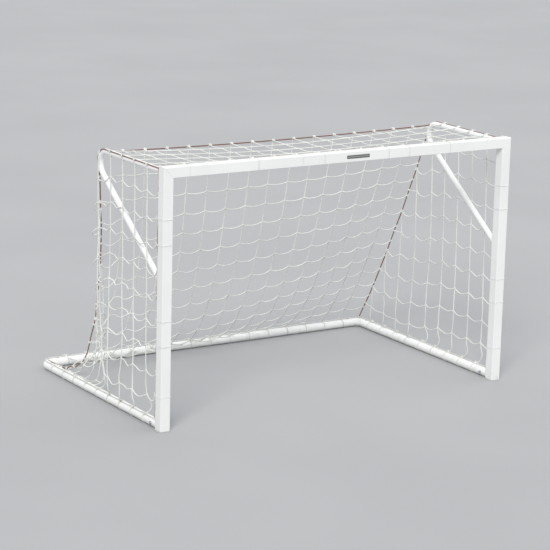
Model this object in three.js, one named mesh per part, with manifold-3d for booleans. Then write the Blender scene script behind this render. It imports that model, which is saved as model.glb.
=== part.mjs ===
// Portable small-sided soccer goal: 4 ft high and 6 ft wide inside the posts,
// 2 ft deep at the top and 4 ft at the ground.
// Millimetres, +Z up. +Y runs from the goal mouth to the back of the net,
// +X to the right as seen from the field.
// The origin is on the ground, in the middle of the goal's footprint.
import * as THREE from "three";
import { mergeVertices } from "three/addons/utils/BufferGeometryUtils.js";
import Module from "manifold-3d";

const wasm = await Module();
wasm.setup();

// ---- driving dimensions ----
const HEIGHT = 1219.2; // overall, ground to the top of the crossbar
const WIDTH = 1930.4; // overall, 6 ft between the posts plus both posts
const DEPTH = 1232; // overall, at the ground
const GAP = 0.3; // clearance between pieces that touch
const OVERSHOOT = 5; // how far most cutting solids run past what they cut

// posts and crossbar
const POST = 50.8; // side of the square tube
const POST_WALL = 2;
const POST_EDGE = 4; // outer edge radius of the square tube
const FOOT_CAP = 3; // thickness of a foot cap's flange
const BRACKET_LEG = 70; // reach of a corner bracket's legs past the corner
const BRACKET_WALL = 4;
const BRACKET_EDGE = 2.6; // outer edge radius of a corner bracket

// ground frame
const BAR_OD = 42.2;
const BAR_ID = 38.9;
const SPIGOT_OD = 38.3; // what slips inside a ground bar
const SPIGOT_ID = 32.3;
const SPIGOT_LENGTH = 70; // of an elbow's spigots
const FOOT_SPIGOT_LENGTH = 75; // of a foot bracket's spigot, behind its plate
const ELBOW_R = 36; // centreline radius of a rear elbow
const BUTTON_D = 8.4;
const BUTTON_HOLE_D = 9;
const BUTTON_STANDS = 3.5; // how far a snap button stands out of its bar
const BUTTON_BACK = 35; // from an elbow's shoulder to a snap button's axis

// net supports
const STAY_OD = 26.7;
const STAY_ID = 23.7;
const STAY_R = 60; // centreline radius of the bend
const STAY_REACH = 655; // from the posts' front face to the back of the bend
const STAY_FOOT_Z = 686; // where the lower end meets its post

// bolted plates and fasteners
const PLATE = 5; // thickness
const PLATE_WIDTH = 44;
const PLATE_CORNER = 7; // corner radius
const BOLT_D = 8;
const BOLT_HOLE_D = 8.6;
const RIVNUT_HOLE_D = 11.6;
const NUT_BORE_R = 4.3; // of rivet nuts and hex nuts
const HEX_R = 7.5; // across the corners, of bolt heads and nuts

// net
const MESH = 120; // side of the net's squares
const CORD = 4; // width of a cord
const CORD_THICK = 3.5;
const EDGE_ROPE = 6; // diameter of the ropes along the net's edges

// segments around a circle
const TUBE_SEGMENTS = 24;
const DISC_SEGMENTS = 16; // washers, domed heads and snap buttons
const ROPE_SEGMENTS = 8;
const SMALL_SEGMENTS = 12; // bolt shanks, holes and rivet nuts

// ---- places worked out from them ----
const front = -DEPTH / 2; // y of the posts' front face
const rear = front + POST; // y of the posts' rear face
const postY = front + POST / 2;
const postX = WIDTH / 2 - POST / 2;
const crossZ = HEIGHT - POST / 2; // middle of the crossbar
const barZ = BAR_OD / 2;
const rearBarY = DEPTH / 2 - BAR_OD / 2;
const plateY = rear + GAP; // front face of every bolted plate
const plateBackY = plateY + PLATE;
const elbowStartY = rearBarY - ELBOW_R; // shoulder of an elbow on its side bar
const elbowStartX = postX - ELBOW_R; // shoulder of an elbow on the rear bar
const barFrontY = plateBackY + 0.5;
const barBoltY = plateBackY + 42; // cross bolt of a side bar
const postInside = POST - 2 * POST_WALL;
const slipHalf = postInside / 2 - GAP; // half the width of what slips inside a post

// bolt places on the posts and the crossbar
const footBoltZ = { lower: 62, upper: 84 };
const stayLowerBoltZ = { lower: STAY_FOOT_Z - 38, upper: STAY_FOOT_Z + 38 };
const stayUpperBoltZ = { lower: 1136, upper: 1160 };
const cornerBoltX = postX - POST / 2 - 42; // distance from the middle of the crossbar

const sides = [
  ["left", -1],
  ["right", 1],
];

// ---- materials ----
const finish = (settings) => new THREE.MeshStandardMaterial(settings);
const powderCoat = finish({ color: 0xf1f3f0, roughness: 0.38, metalness: 0.0 });
const zinc = finish({ color: 0xb9bcc0, roughness: 0.35, metalness: 0.9 });
const springSteel = finish({ color: 0x8f9296, roughness: 0.3, metalness: 1.0 });
const castAluminium = finish({ color: 0xa9abad, roughness: 0.5, metalness: 0.9 });
const plastic = finish({ color: 0xe8e9e6, roughness: 0.55, metalness: 0.0 });
const netCord = finish({ color: 0xe3e6dd, roughness: 0.9, metalness: 0.0 });
const ropeCord = finish({ color: 0x8a5d4a, roughness: 0.9, metalness: 0.0 });

// ---- solids from geometry and back ----
function solidFrom(geometry) {
  geometry.deleteAttribute("normal");
  geometry.deleteAttribute("uv");
  const merged = mergeVertices(geometry, 1e-4);
  const vertProperties = new Float32Array(merged.attributes.position.array);
  const triVerts = new Uint32Array(merged.index.array);
  const make = () =>
    new wasm.Manifold(new wasm.Mesh({ numProp: 3, vertProperties, triVerts }));
  const solid = make();
  if (solid.volume() >= 0) return solid;
  // the faces point inwards, so turn each of them over
  for (let i = 0; i < triVerts.length; i += 3)
    [triVerts[i + 1], triVerts[i + 2]] = [triVerts[i + 2], triVerts[i + 1]];
  return make();
}

function geometryFrom(solid) {
  const { numVert, numProp, vertProperties, triVerts } = solid.getMesh();
  const positions = new Float32Array(numVert * 3);
  for (let i = 0; i < numVert; i++)
    positions.set(vertProperties.subarray(i * numProp, i * numProp + 3), i * 3);
  const geometry = new THREE.BufferGeometry();
  geometry.setAttribute("position", new THREE.BufferAttribute(positions, 3));
  geometry.setIndex(new THREE.BufferAttribute(new Uint32Array(triVerts), 1));
  geometry.computeVertexNormals();
  return geometry;
}

const join = (...solids) => solids.reduce((a, b) => a.add(b));
const cut = (body, ...holes) => holes.reduce((a, b) => a.subtract(b), body);

const goal = new THREE.Group();

// Adds a named mesh of a solid, or of a ready geometry, to the goal.
function addPiece(name, shape, material) {
  const geometry = shape.isBufferGeometry ? shape : geometryFrom(shape);
  const mesh = new THREE.Mesh(geometry, material);
  mesh.name = name;
  goal.add(mesh);
  return mesh;
}

// ---- outlines: lists of [a, b] points ----
const vec = (x, y, z) => new THREE.Vector3(x, y, z);
const ascending = (a, b) => [Math.min(a, b), Math.max(a, b)];
const shapeOf = (outline) =>
  new THREE.Shape(outline.map(([a, b]) => new THREE.Vector2(a, b)));

const rectangle = (a0, b0, a1, b1) => [
  [a0, b0],
  [a1, b0],
  [a1, b1],
  [a0, b1],
];

function circle(radius, segments) {
  return Array.from({ length: segments }, (_, i) => {
    const angle = (i / segments) * 2 * Math.PI;
    return [radius * Math.cos(angle), radius * Math.sin(angle)];
  });
}

// A rectangle with rounded corners, each of them an arc of so many steps.
function roundedRectangle(width, height, radius, steps, middle = [0, 0]) {
  const a = width / 2 - radius;
  const b = height / 2 - radius;
  const corners = [
    [a, b],
    [-a, b],
    [-a, -b],
    [a, -b],
  ];
  return corners.flatMap(([cornerA, cornerB], quarter) =>
    Array.from({ length: steps + 1 }, (_, i) => {
      const angle = ((quarter + i / steps) * Math.PI) / 2;
      return [
        middle[0] + cornerA + radius * Math.cos(angle),
        middle[1] + cornerB + radius * Math.sin(angle),
      ];
    }),
  );
}

const roundedSquare = (side, radius, steps) =>
  roundedRectangle(side, side, radius, steps);

// ---- basic solids ----
// A box between two corners.
function box(x0, y0, z0, x1, y1, z1) {
  const geometry = new THREE.BoxGeometry(x1 - x0, y1 - y0, z1 - z0);
  geometry.translate((x0 + x1) / 2, (y0 + y1) / 2, (z0 + z1) / 2);
  return solidFrom(geometry);
}

// A round bar between two points. A level one has a corner of its section
// straight down, so that it stands on the ground exactly.
function rod(start, end, radius, segments = SMALL_SEGMENTS) {
  const from = vec(...start);
  const to = vec(...end);
  const along = to.clone().sub(from);
  const geometry = new THREE.CylinderGeometry(radius, radius, along.length(), segments);
  geometry.applyQuaternion(
    new THREE.Quaternion().setFromUnitVectors(vec(0, 1, 0), along.normalize()),
  );
  const middle = from.add(to).multiplyScalar(0.5);
  geometry.translate(middle.x, middle.y, middle.z);
  return solidFrom(geometry);
}

const rodAlongX = (y, z, x0, x1, radius, segments) =>
  rod([x0, y, z], [x1, y, z], radius, segments);
const rodAlongY = (x, z, y0, y1, radius, segments) =>
  rod([x, y0, z], [x, y1, z], radius, segments);

// A shape turned about the Z axis: points are [radius, z],
// starting and ending on the axis or closing on itself.
function turned(points, segments) {
  const profile = points.map(([radius, z]) => new THREE.Vector2(radius, z));
  const geometry = new THREE.LatheGeometry(profile, segments);
  geometry.rotateX(Math.PI / 2); // lathe axis Y to Z
  return geometry;
}

const extrude = (outline, depth) =>
  new THREE.ExtrudeGeometry(shapeOf(outline), { depth, bevelEnabled: false, steps: 1 });

// A straight bar with an (x, y) outline, from z0 to z1.
function bar(outline, z0, z1) {
  const geometry = extrude(outline, z1 - z0);
  geometry.translate(0, 0, z0);
  return solidFrom(geometry);
}

// The same bar turned to run along X, from x0 to x1.
const barAlongX = (outline, x0, x1) =>
  bar(outline, x0, x1).transform(new THREE.Matrix4().makeRotationY(Math.PI / 2).toArray());

// A prism with an (x, z) outline, from y0 to y1.
function prism(outline, y0, y1) {
  const geometry = extrude(outline, y1 - y0);
  geometry.applyMatrix4(
    new THREE.Matrix4()
      .makeBasis(vec(1, 0, 0), vec(0, 0, 1), vec(0, -1, 0))
      .setPosition(0, y1, 0),
  );
  return solidFrom(geometry);
}

// A path of stations, each a point and a direction, that an extrusion samples exactly there.
class StationPath extends THREE.Curve {
  constructor(stations) {
    super();
    this.stations = stations;
  }
  stationAt(u) {
    return this.stations[Math.round(u * (this.stations.length - 1))];
  }
  getPointAt(u) {
    return this.stationAt(u).point.clone();
  }
  getTangentAt(u) {
    return this.stationAt(u).direction.clone();
  }
}

// A round bar of the given radius that follows a list of stations.
function sweep(radius, segments, stations) {
  return solidFrom(
    new THREE.ExtrudeGeometry(shapeOf(circle(radius, segments)), {
      steps: stations.length - 1,
      extrudePath: new StationPath(stations),
      bevelEnabled: false,
    }),
  );
}

// ---- bolted plates and fasteners ----
// A plate across the Y axis with rounded corners, between heights z0 and z1.
function boltedPlate(x, z0, z1) {
  const middle = [x, (z0 + z1) / 2];
  const outline = roundedRectangle(PLATE_WIDTH, z1 - z0, PLATE_CORNER, 4, middle);
  return prism(outline, plateY, plateBackY);
}

const plateHole = (x, z) =>
  rodAlongY(x, z, plateY - OVERSHOOT, plateBackY + OVERSHOOT, BOLT_HOLE_D / 2);

// A hex bolt with its washer, head towards +Y, bearing on a face at y.
function hexBolt(x, y, z, length) {
  const seat = y + GAP;
  return join(
    rodAlongY(x, z, y - length, y + 2, BOLT_D / 2),
    rodAlongY(x, z, seat, seat + 1.6, 8.5, DISC_SEGMENTS),
    rodAlongY(x, z, seat + 1.2, seat + 6.9, HEX_R, 6),
  );
}

// A rivet nut's section, closed on itself: [radius, distance into the post]
const rivetNutSection = [
  [NUT_BORE_R, 0],
  [5.5, 0],
  [5.5, 2.3],
  [7.3, 2.3],
  [7.3, 5],
  [5.5, 6],
  [5.5, 13],
  [NUT_BORE_R, 13],
  [NUT_BORE_R, 0],
];

// A rivet nut set in a post's rear wall: a sleeve with a swaged collar inside the wall.
function rivetNut(x, z) {
  const geometry = turned(rivetNutSection, SMALL_SEGMENTS);
  geometry.rotateX(Math.PI / 2); // its axis from +Z to -Y, into the post
  geometry.translate(x, rear - 0.05, z);
  return solidFrom(geometry);
}

// ---- front frame: two posts and a crossbar, mitred at the corners ----
const postOutline = roundedSquare(POST, POST_EDGE, 3);
const hollowOutline = roundedSquare(postInside, POST_EDGE - POST_WALL, 2);
const slipOutline = roundedSquare(2 * slipHalf, POST_EDGE - POST_WALL, 2);
const mitreShift = (GAP / 2) * Math.SQRT2; // vertical, half the gap of the joint

// What a mitre takes off a tube: all between its plane, which runs from the
// inner lower corner to the outer upper one, and height farZ.
function mitreWaste(sign, shift, farZ) {
  const past = 20; // how far the plane runs past the corners
  const innerX = sign * (WIDTH / 2 - POST - past);
  const outerX = sign * (WIDTH / 2 + past);
  return prism(
    [
      [innerX, HEIGHT - POST - past + shift],
      [outerX, HEIGHT + past + shift],
      [outerX, farZ],
      [innerX, farZ],
    ],
    front - 10,
    rear + 10,
  );
}

const rearWallHole = (x, z, diameter) => rodAlongY(x, z, rear - 8, rear + 8, diameter / 2);

function post(sign) {
  const x = sign * postX;
  const tube = cut(
    bar(postOutline, FOOT_CAP + GAP, HEIGHT),
    bar(hollowOutline, 0, HEIGHT + 10),
  ).translate(x, postY, 0);
  const rivnutZ = [...Object.values(footBoltZ), ...Object.values(stayLowerBoltZ)];
  return cut(
    tube,
    mitreWaste(sign, -mitreShift, HEIGHT + 80),
    ...rivnutZ.map((z) => rearWallHole(x, z, RIVNUT_HOLE_D)),
    ...Object.values(stayUpperBoltZ).map((z) => rearWallHole(x, z, BOLT_HOLE_D)),
  );
}

function crossbar() {
  const tube = cut(
    barAlongX(postOutline, -WIDTH / 2, WIDTH / 2),
    barAlongX(hollowOutline, -WIDTH / 2 - 10, WIDTH / 2 + 10),
  ).translate(0, postY, crossZ);
  return cut(
    tube,
    ...sides.map(([, sign]) => mitreWaste(sign, mitreShift, HEIGHT - 100)),
    ...sides.map(([, sign]) => rearWallHole(sign * cornerBoltX, crossZ, BOLT_HOLE_D)),
  );
}

// A hollow cast bracket inside a mitred corner, with a leg down and a leg inwards.
function cornerBracket(sign) {
  const x = sign * postX;
  const innerHalf = slipHalf - BRACKET_WALL;
  const endX = sign * (postX - POST / 2 - BRACKET_LEG);
  const endZ = HEIGHT - POST - BRACKET_LEG;
  const cornerReach = slipHalf - BRACKET_EDGE;
  const outline = roundedSquare(2 * slipHalf, BRACKET_EDGE, 2);
  const body = join(
    bar(outline, endZ, crossZ + cornerReach).translate(x, postY, 0),
    barAlongX(outline, ...ascending(endX, x + sign * cornerReach))
      .translate(0, postY, crossZ),
  );

  const [insideX0, insideX1] = ascending(endX - sign * OVERSHOOT, x + sign * innerHalf);
  const y0 = postY - innerHalf;
  const y1 = postY + innerHalf;
  const topZ = crossZ + innerHalf;
  const inside = join(
    box(x - innerHalf, y0, endZ - OVERSHOOT, x + innerHalf, y1, topZ),
    box(insideX0, y0, crossZ - innerHalf, insideX1, y1, topZ),
  );

  const boltPlaces = [
    ...Object.values(stayUpperBoltZ).map((z) => [x, z]),
    [sign * cornerBoltX, crossZ],
  ];
  const holes = boltPlaces.map(([boltX, boltZ]) =>
    rodAlongY(boltX, boltZ, rear - 12, rear, BOLT_HOLE_D / 2),
  );
  return cut(body, inside, ...holes);
}

// A cap in the bottom of a post: a flange, a hollow plug and two crossed ribs.
function footCap(sign) {
  const insideHalf = slipHalf - 2.5;
  const ribHalf = slipHalf - 1;
  const rootZ = FOOT_CAP - 0.5; // plug and ribs start inside the flange
  const ribTop = 14;
  const plug = cut(
    bar(slipOutline, rootZ, 24),
    box(-insideHalf, -insideHalf, FOOT_CAP, insideHalf, insideHalf, 30),
  );
  return join(
    bar(postOutline, 0, FOOT_CAP),
    plug,
    box(-ribHalf, -1, rootZ, ribHalf, 1, ribTop),
    box(-1, -ribHalf, rootZ, 1, ribHalf, ribTop),
  ).translate(sign * postX, postY, 0);
}

for (const [side, sign] of sides) addPiece(`${side}_post`, post(sign), powderCoat);
addPiece("crossbar", crossbar(), powderCoat);
for (const [side, sign] of sides)
  addPiece(`${side}_corner_bracket`, cornerBracket(sign), castAluminium);
for (const [side, sign] of sides) {
  const bolt = hexBolt(sign * cornerBoltX, rear, crossZ, 14);
  addPiece(`${side}_corner_bolt`, bolt, zinc);
}
for (const [side, sign] of sides) addPiece(`${side}_foot_cap`, footCap(sign), plastic);

// ---- ground frame ----
const crossBoltHole = (x) => rodAlongX(barBoltY, barZ, x - 30, x + 30, BOLT_HOLE_D / 2);
const buttonHole = (x, y) => rod([x, y, barZ], [x, y, barZ + 30], BUTTON_HOLE_D / 2);

// Snap button axes of a side: one on the side bar, one on the rear bar.
const sideButton = (sign) => [sign * postX, elbowStartY - BUTTON_BACK];
const rearButton = (sign) => [sign * (elbowStartX - BUTTON_BACK), rearBarY];

// A plate bolted to the post, with a spigot welded on that the side bar slips over.
function footBracket(x) {
  const spigotEnd = plateBackY + FOOT_SPIGOT_LENGTH;
  const boreEnd = plateBackY + 90;
  const boreRadius = SPIGOT_ID / 2 - 2; // narrower than an elbow's bore
  return cut(
    join(
      boltedPlate(x, 1, 98),
      rodAlongY(x, barZ, plateY, spigotEnd, SPIGOT_OD / 2, TUBE_SEGMENTS),
    ),
    rodAlongY(x, barZ, plateY - OVERSHOOT, boreEnd, boreRadius, TUBE_SEGMENTS),
    ...Object.values(footBoltZ).map((z) => plateHole(x, z)),
    crossBoltHole(x),
  );
}

function sideGroundBar(sign) {
  const x = sign * postX;
  const y0 = barFrontY;
  const y1 = elbowStartY - GAP;
  return cut(
    rodAlongY(x, barZ, y0, y1, BAR_OD / 2, TUBE_SEGMENTS),
    rodAlongY(x, barZ, y0 - OVERSHOOT, y1 + OVERSHOOT, BAR_ID / 2, TUBE_SEGMENTS),
    crossBoltHole(x),
    buttonHole(...sideButton(sign)),
  );
}

function rearGroundBar() {
  const end = elbowStartX - GAP;
  const boreEnd = elbowStartX + OVERSHOOT;
  return cut(
    rodAlongX(rearBarY, barZ, -end, end, BAR_OD / 2, TUBE_SEGMENTS),
    rodAlongX(rearBarY, barZ, -boreEnd, boreEnd, BAR_ID / 2, TUBE_SEGMENTS),
    ...sides.map(([, sign]) => buttonHole(...rearButton(sign))),
  );
}

// The cross bolt that holds a side bar on its spigot, with a low domed head
// on the outer side and a hex nut on the inner one.
const boltSeat = barZ + GAP; // from the bar's axis to the face of the head or the nut

function barBolt(sign) {
  const x = sign * postX;
  const across = (from, to, radius, segments) =>
    rodAlongX(barBoltY, barZ, x + sign * from, x + sign * to, radius, segments);
  return join(
    across(-31, boltSeat + 1, BOLT_D / 2),
    across(boltSeat, boltSeat + 2, 9, DISC_SEGMENTS),
    across(boltSeat + 1.5, boltSeat + 3.4, 6.2, DISC_SEGMENTS),
  );
}

function barNut(sign) {
  const x = sign * postX;
  const outerX = x - sign * boltSeat;
  const innerX = x - sign * (boltSeat + 7);
  return cut(
    rodAlongX(barBoltY, barZ, innerX, outerX, HEX_R, 6),
    rodAlongX(barBoltY, barZ, x - sign * 40, x, NUT_BORE_R),
  );
}

// Stations along an elbow's quarter bend.
function bendStations(sign) {
  const arcs = 6;
  return Array.from({ length: arcs + 1 }, (_, i) => {
    const angle = ((i / arcs) * Math.PI) / 2;
    return {
      point: vec(
        sign * (elbowStartX + ELBOW_R * Math.cos(angle)),
        elbowStartY + ELBOW_R * Math.sin(angle),
        barZ,
      ),
      direction: vec(-sign * Math.sin(angle), Math.cos(angle), 0),
    };
  });
}

// A bend as wide as the bars, with a spigot at each end and one bore through it all.
function rearElbow(sign) {
  const x = sign * postX;
  const root = 0.5; // how far a spigot runs into the bend
  const spigotY = elbowStartY - SPIGOT_LENGTH;
  const spigotX = sign * (elbowStartX - SPIGOT_LENGTH);
  const rootX = sign * (elbowStartX + root);
  const boreRun = SPIGOT_LENGTH + OVERSHOOT;
  const boreStations = [
    { point: vec(x, elbowStartY - boreRun, barZ), direction: vec(0, 1, 0) },
    ...bendStations(sign),
    {
      point: vec(sign * (elbowStartX - boreRun), rearBarY, barZ),
      direction: vec(-sign, 0, 0),
    },
  ];
  return cut(
    join(
      sweep(BAR_OD / 2, TUBE_SEGMENTS, bendStations(sign)),
      rodAlongY(x, barZ, spigotY, elbowStartY + root, SPIGOT_OD / 2, TUBE_SEGMENTS),
      rodAlongX(rearBarY, barZ, spigotX, rootX, SPIGOT_OD / 2, TUBE_SEGMENTS),
    ),
    sweep(SPIGOT_ID / 2, TUBE_SEGMENTS, boreStations),
    buttonHole(...sideButton(sign)),
    buttonHole(...rearButton(sign)),
  );
}

for (const [side, sign] of sides) {
  const x = sign * postX;
  addPiece(`${side}_foot_bracket`, footBracket(x), powderCoat);
  for (const [where, z] of Object.entries(footBoltZ)) {
    const bolt = hexBolt(x, plateBackY, z, PLATE + 12);
    addPiece(`${side}_foot_rivet_nut_${where}`, rivetNut(x, z), zinc);
    addPiece(`${side}_foot_bolt_${where}`, bolt, zinc);
  }
  addPiece(`${side}_ground_bar`, sideGroundBar(sign), powderCoat);
  addPiece(`${side}_bar_bolt`, barBolt(sign), zinc);
  addPiece(`${side}_bar_nut`, barNut(sign), zinc);
}
addPiece("rear_ground_bar", rearGroundBar(), powderCoat);
for (const [side, sign] of sides)
  addPiece(`${side}_rear_elbow`, rearElbow(sign), powderCoat);

// ---- snap buttons and their springs inside the elbow spigots ----
// A button's profile from its foot to its tip: [radius, height over the bar's axis]
const buttonTip = BAR_OD / 2 + BUTTON_STANDS;
const buttonProfile = [
  [0, 13],
  [5.6, 13],
  [5.6, 14.6],
  [BUTTON_D / 2, 14.6],
  [BUTTON_D / 2, buttonTip - 1.8],
  [BUTTON_D / 2 - 1.4, buttonTip - 0.5],
  [0, buttonTip],
];

// Middle line of a spring: [along the bar from the button, height over the bar's axis]
const springLine = [
  [5, 12.1],
  [-8, 11.4],
  [-18, 8.4],
  [-24.5, 3],
  [-26.5, -3],
  [-24, -9],
  [-19, -13],
  [-12, -14.5],
  [14, -14.5],
];

// The directions from each point's neighbour before to its neighbour after.
const before = (list, i) => list[Math.max(i - 1, 0)];
const after = (list, i) => list[Math.min(i + 1, list.length - 1)];

// A polyline given some thickness, as a closed outline.
function strip(points, thickness) {
  const line = points.map(([a, b]) => new THREE.Vector2(a, b));
  const left = [];
  const right = [];
  line.forEach((point, i) => {
    const along = after(line, i).clone().sub(before(line, i)).normalize();
    const offset = new THREE.Vector2(-along.y, along.x).multiplyScalar(thickness / 2);
    left.push([point.x + offset.x, point.y + offset.y]);
    right.push([point.x - offset.x, point.y - offset.y]);
  });
  return [...left, ...right.reverse()];
}

// A spring's bow points to the front in a side bar, and outwards in the rear bar.
for (const [side, sign] of sides)
  for (const [where, [x, y], turn] of [
    ["side", sideButton(sign), Math.PI / 2],
    ["rear", rearButton(sign), sign > 0 ? Math.PI : 0],
  ]) {
    const profile = turned(buttonProfile, DISC_SEGMENTS);
    const button = addPiece(`${side}_${where}_snap_button`, profile, springSteel);
    button.position.set(x, y, barZ);
    const leaf = prism(strip(springLine, 0.8), -4.5, 4.5);
    const spring = addPiece(`${side}_${where}_snap_spring`, leaf, springSteel);
    spring.rotation.z = turn;
    spring.position.set(x, y, barZ);
  }

// ---- net supports: a bent tube with a welded plate at each end,
// bolted to the rear of its post ----
const bendY = front + STAY_REACH - STAY_OD / 2 - STAY_R; // centre of the bend
const bendZ = crossZ - STAY_R;

// Slope of the lower run, which leaves the bend along its tangent and ends at
// the plate. The bend's end moves with the slope, so it is found by repetition.
let fall = 0.5;
for (let i = 0; i < 60; i++)
  fall = Math.atan2(
    bendZ - STAY_R * Math.cos(fall) - STAY_FOOT_Z,
    bendY + STAY_R * Math.sin(fall) - plateBackY,
  );

// Stations from the top end round the bend to the lower end, both ends running on
// into their plates and by a further length.
function stayStations(x, further) {
  const arcs = 9;
  const bend = Array.from({ length: arcs + 1 }, (_, i) => {
    const angle = (i / arcs) * (Math.PI - fall);
    const sin = Math.sin(angle);
    const cos = Math.cos(angle);
    return {
      point: vec(x, bendY + STAY_R * sin, bendZ + STAY_R * cos),
      direction: vec(0, cos, -sin),
    };
  });
  const lowerRunOn = 20 + further;
  return [
    { point: vec(x, plateBackY - 2 - further, crossZ), direction: vec(0, 1, 0) },
    ...bend,
    {
      point: vec(x, plateBackY - lowerRunOn, STAY_FOOT_Z - lowerRunOn * Math.tan(fall)),
      direction: vec(0, -Math.cos(fall), -Math.sin(fall)),
    },
  ];
}

function netSupport(x) {
  const inFrontOf = (y) => box(x - 40, rear - 100, 500, x + 40, y, HEIGHT + 100);
  // the tube is trimmed inside its plates, and its bore at their rear faces
  const tube = cut(
    sweep(STAY_OD / 2, TUBE_SEGMENTS, stayStations(x, 0)),
    inFrontOf(plateBackY - 1),
  );
  const bore = cut(
    sweep(STAY_ID / 2, TUBE_SEGMENTS, stayStations(x, OVERSHOOT)),
    inFrontOf(plateBackY),
  );
  const vents = [crossZ, STAY_FOOT_Z].map((z) =>
    rodAlongY(x, z, plateY - OVERSHOOT, plateBackY + 3, 5),
  );
  const boltZ = [...Object.values(stayUpperBoltZ), ...Object.values(stayLowerBoltZ)];
  return cut(
    join(
      tube,
      boltedPlate(x, 1118, 1212),
      boltedPlate(x, STAY_FOOT_Z - 54, STAY_FOOT_Z + 54),
    ),
    bore,
    ...vents,
    ...boltZ.map((z) => plateHole(x, z)),
  );
}

for (const [side, sign] of sides) {
  const x = sign * postX;
  addPiece(`${side}_net_support`, netSupport(x), powderCoat);
  for (const [where, z] of Object.entries(stayUpperBoltZ)) {
    const bolt = hexBolt(x, plateBackY, z, PLATE + 14);
    addPiece(`${side}_support_top_bolt_${where}`, bolt, zinc);
  }
  for (const [where, z] of Object.entries(stayLowerBoltZ)) {
    const bolt = hexBolt(x, plateBackY, z, PLATE + 12);
    addPiece(`${side}_support_rivet_nut_${where}`, rivetNut(x, z), zinc);
    addPiece(`${side}_support_foot_bolt_${where}`, bolt, zinc);
  }
}

// ---- net: four panels of square mesh, held flat ----
const netBottom = BAR_OD + 6.5;
const netTop = crossZ + STAY_OD / 2 + 1; // rests just over the supports
const frontRopeY = plateBackY + GAP + EDGE_ROPE / 2;
const netFrontY = frontRopeY + EDGE_ROPE / 2 + GAP;
const netBackTopY = front + STAY_REACH;
const netBackBottomY = rearBarY - 6;

// Places that divide a span into equal squares, without its ends.
function cordPlaces(from, to) {
  const squares = Math.max(1, Math.round((to - from) / MESH));
  return Array.from(
    { length: squares - 1 },
    (_, i) => from + ((to - from) * (i + 1)) / squares,
  );
}

// A border cord on the inner side of one edge of an anticlockwise outline,
// running past both ends of the edge.
function borderCord(start, end) {
  const from = new THREE.Vector2(...start);
  const to = new THREE.Vector2(...end);
  const along = to.clone().sub(from).normalize();
  const inwards = new THREE.Vector2(-along.y, along.x).multiplyScalar(2 * CORD);
  from.addScaledVector(along, -40);
  to.addScaledVector(along, 40);
  const corners = [from, to, to.clone().add(inwards), from.clone().add(inwards)];
  return bar(corners.map((corner) => corner.toArray()), 0, CORD_THICK);
}

// A net panel in its own (u, v) plane: cords across it both ways and a border
// cord around the anticlockwise outline, all trimmed to that outline.
function lattice(outline) {
  const us = outline.map(([u]) => u);
  const vs = outline.map(([, v]) => v);
  const [u0, u1] = [Math.min(...us), Math.max(...us)];
  const [v0, v1] = [Math.min(...vs), Math.max(...vs)];
  const half = CORD / 2;
  const cord = (...limits) => bar(rectangle(...limits), 0, CORD_THICK);
  return join(
    ...cordPlaces(u0, u1).map((u) => cord(u - half, v0, u + half, v1)),
    ...cordPlaces(v0, v1).map((v) => cord(u0, v - half, u1, v + half)),
    ...outline.map((point, i) => borderCord(point, outline[(i + 1) % outline.length])),
  ).intersect(bar(outline, 0, CORD_THICK));
}

// A net panel placed by the directions of its own u and v axes and its own origin.
function addPanel(name, outline, uAxis, vAxis, origin) {
  const mesh = addPiece(name, lattice(outline), netCord);
  const normal = new THREE.Vector3().crossVectors(uAxis, vAxis);
  mesh.applyMatrix4(
    new THREE.Matrix4().makeBasis(uAxis, vAxis, normal).setPosition(...origin),
  );
}

function addTopPanel() {
  const half = WIDTH / 2 - 9.5;
  const outline = rectangle(-half, netFrontY, half, netBackTopY);
  addPanel("net_top_panel", outline, vec(1, 0, 0), vec(0, 1, 0), [0, 0, netTop]);
}

// The back panel leans from the top rear edge down to the rear ground bar,
// with a rope behind each of its side edges.
function addBackPanelAndRopes() {
  const rise = vec(0, netBackTopY + 4 - netBackBottomY, netTop - 1 - netBottom);
  const height = rise.length();
  const up = rise.normalize();
  const behind = new THREE.Vector3().crossVectors(vec(-1, 0, 0), up);
  const half = WIDTH / 2 - 10;
  for (const [side, sign] of sides) {
    const ropePoint = (distance) =>
      vec(sign * (half - EDGE_ROPE / 2), netBackBottomY, netBottom)
        .addScaledVector(up, distance)
        .addScaledVector(behind, EDGE_ROPE / 2 + GAP)
        .toArray();
    const rope = rod(ropePoint(6), ropePoint(height - 4), EDGE_ROPE / 2, ROPE_SEGMENTS);
    addPiece(`${side}_corner_rope`, rope, ropeCord);
  }
  const outline = rectangle(-half, 0, half, height);
  addPanel("net_back_panel", outline, vec(1, 0, 0), up, [0, netBackBottomY, netBottom]);
}

function addSidePanel(side, sign) {
  const topZ = netTop - 2;
  const outline = [
    [netFrontY, netBottom],
    [netBackBottomY - 12, netBottom],
    [netBackTopY - 8, topZ],
    [netFrontY, topZ],
  ];
  const outerX = sign * (WIDTH / 2 - 5.2);
  // the panel thickens towards +X, which is outwards on the right
  const x = sign > 0 ? outerX - CORD_THICK : outerX;
  addPanel(`net_${side}_panel`, outline, vec(0, 1, 0), vec(0, 0, 1), [x, 0, 0]);
}

addTopPanel();
addBackPanelAndRopes();
for (const [side, sign] of sides) addSidePanel(side, sign);

// ---- ropes along the net's edges ----
// A rope bent round the corners of a polyline.
function edgeRope(points) {
  const line = points.map((point) => vec(...point));
  const stations = line.map((point, i) => {
    const arriving = point.clone().sub(before(line, i));
    const leaving = after(line, i).clone().sub(point);
    // an end of the rope has only one direction
    if (!arriving.length()) arriving.copy(leaving);
    if (!leaving.length()) leaving.copy(arriving);
    return { point, direction: arriving.normalize().add(leaving.normalize()).normalize() };
  });
  return sweep(EDGE_ROPE / 2, ROPE_SEGMENTS, stations);
}

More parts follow.
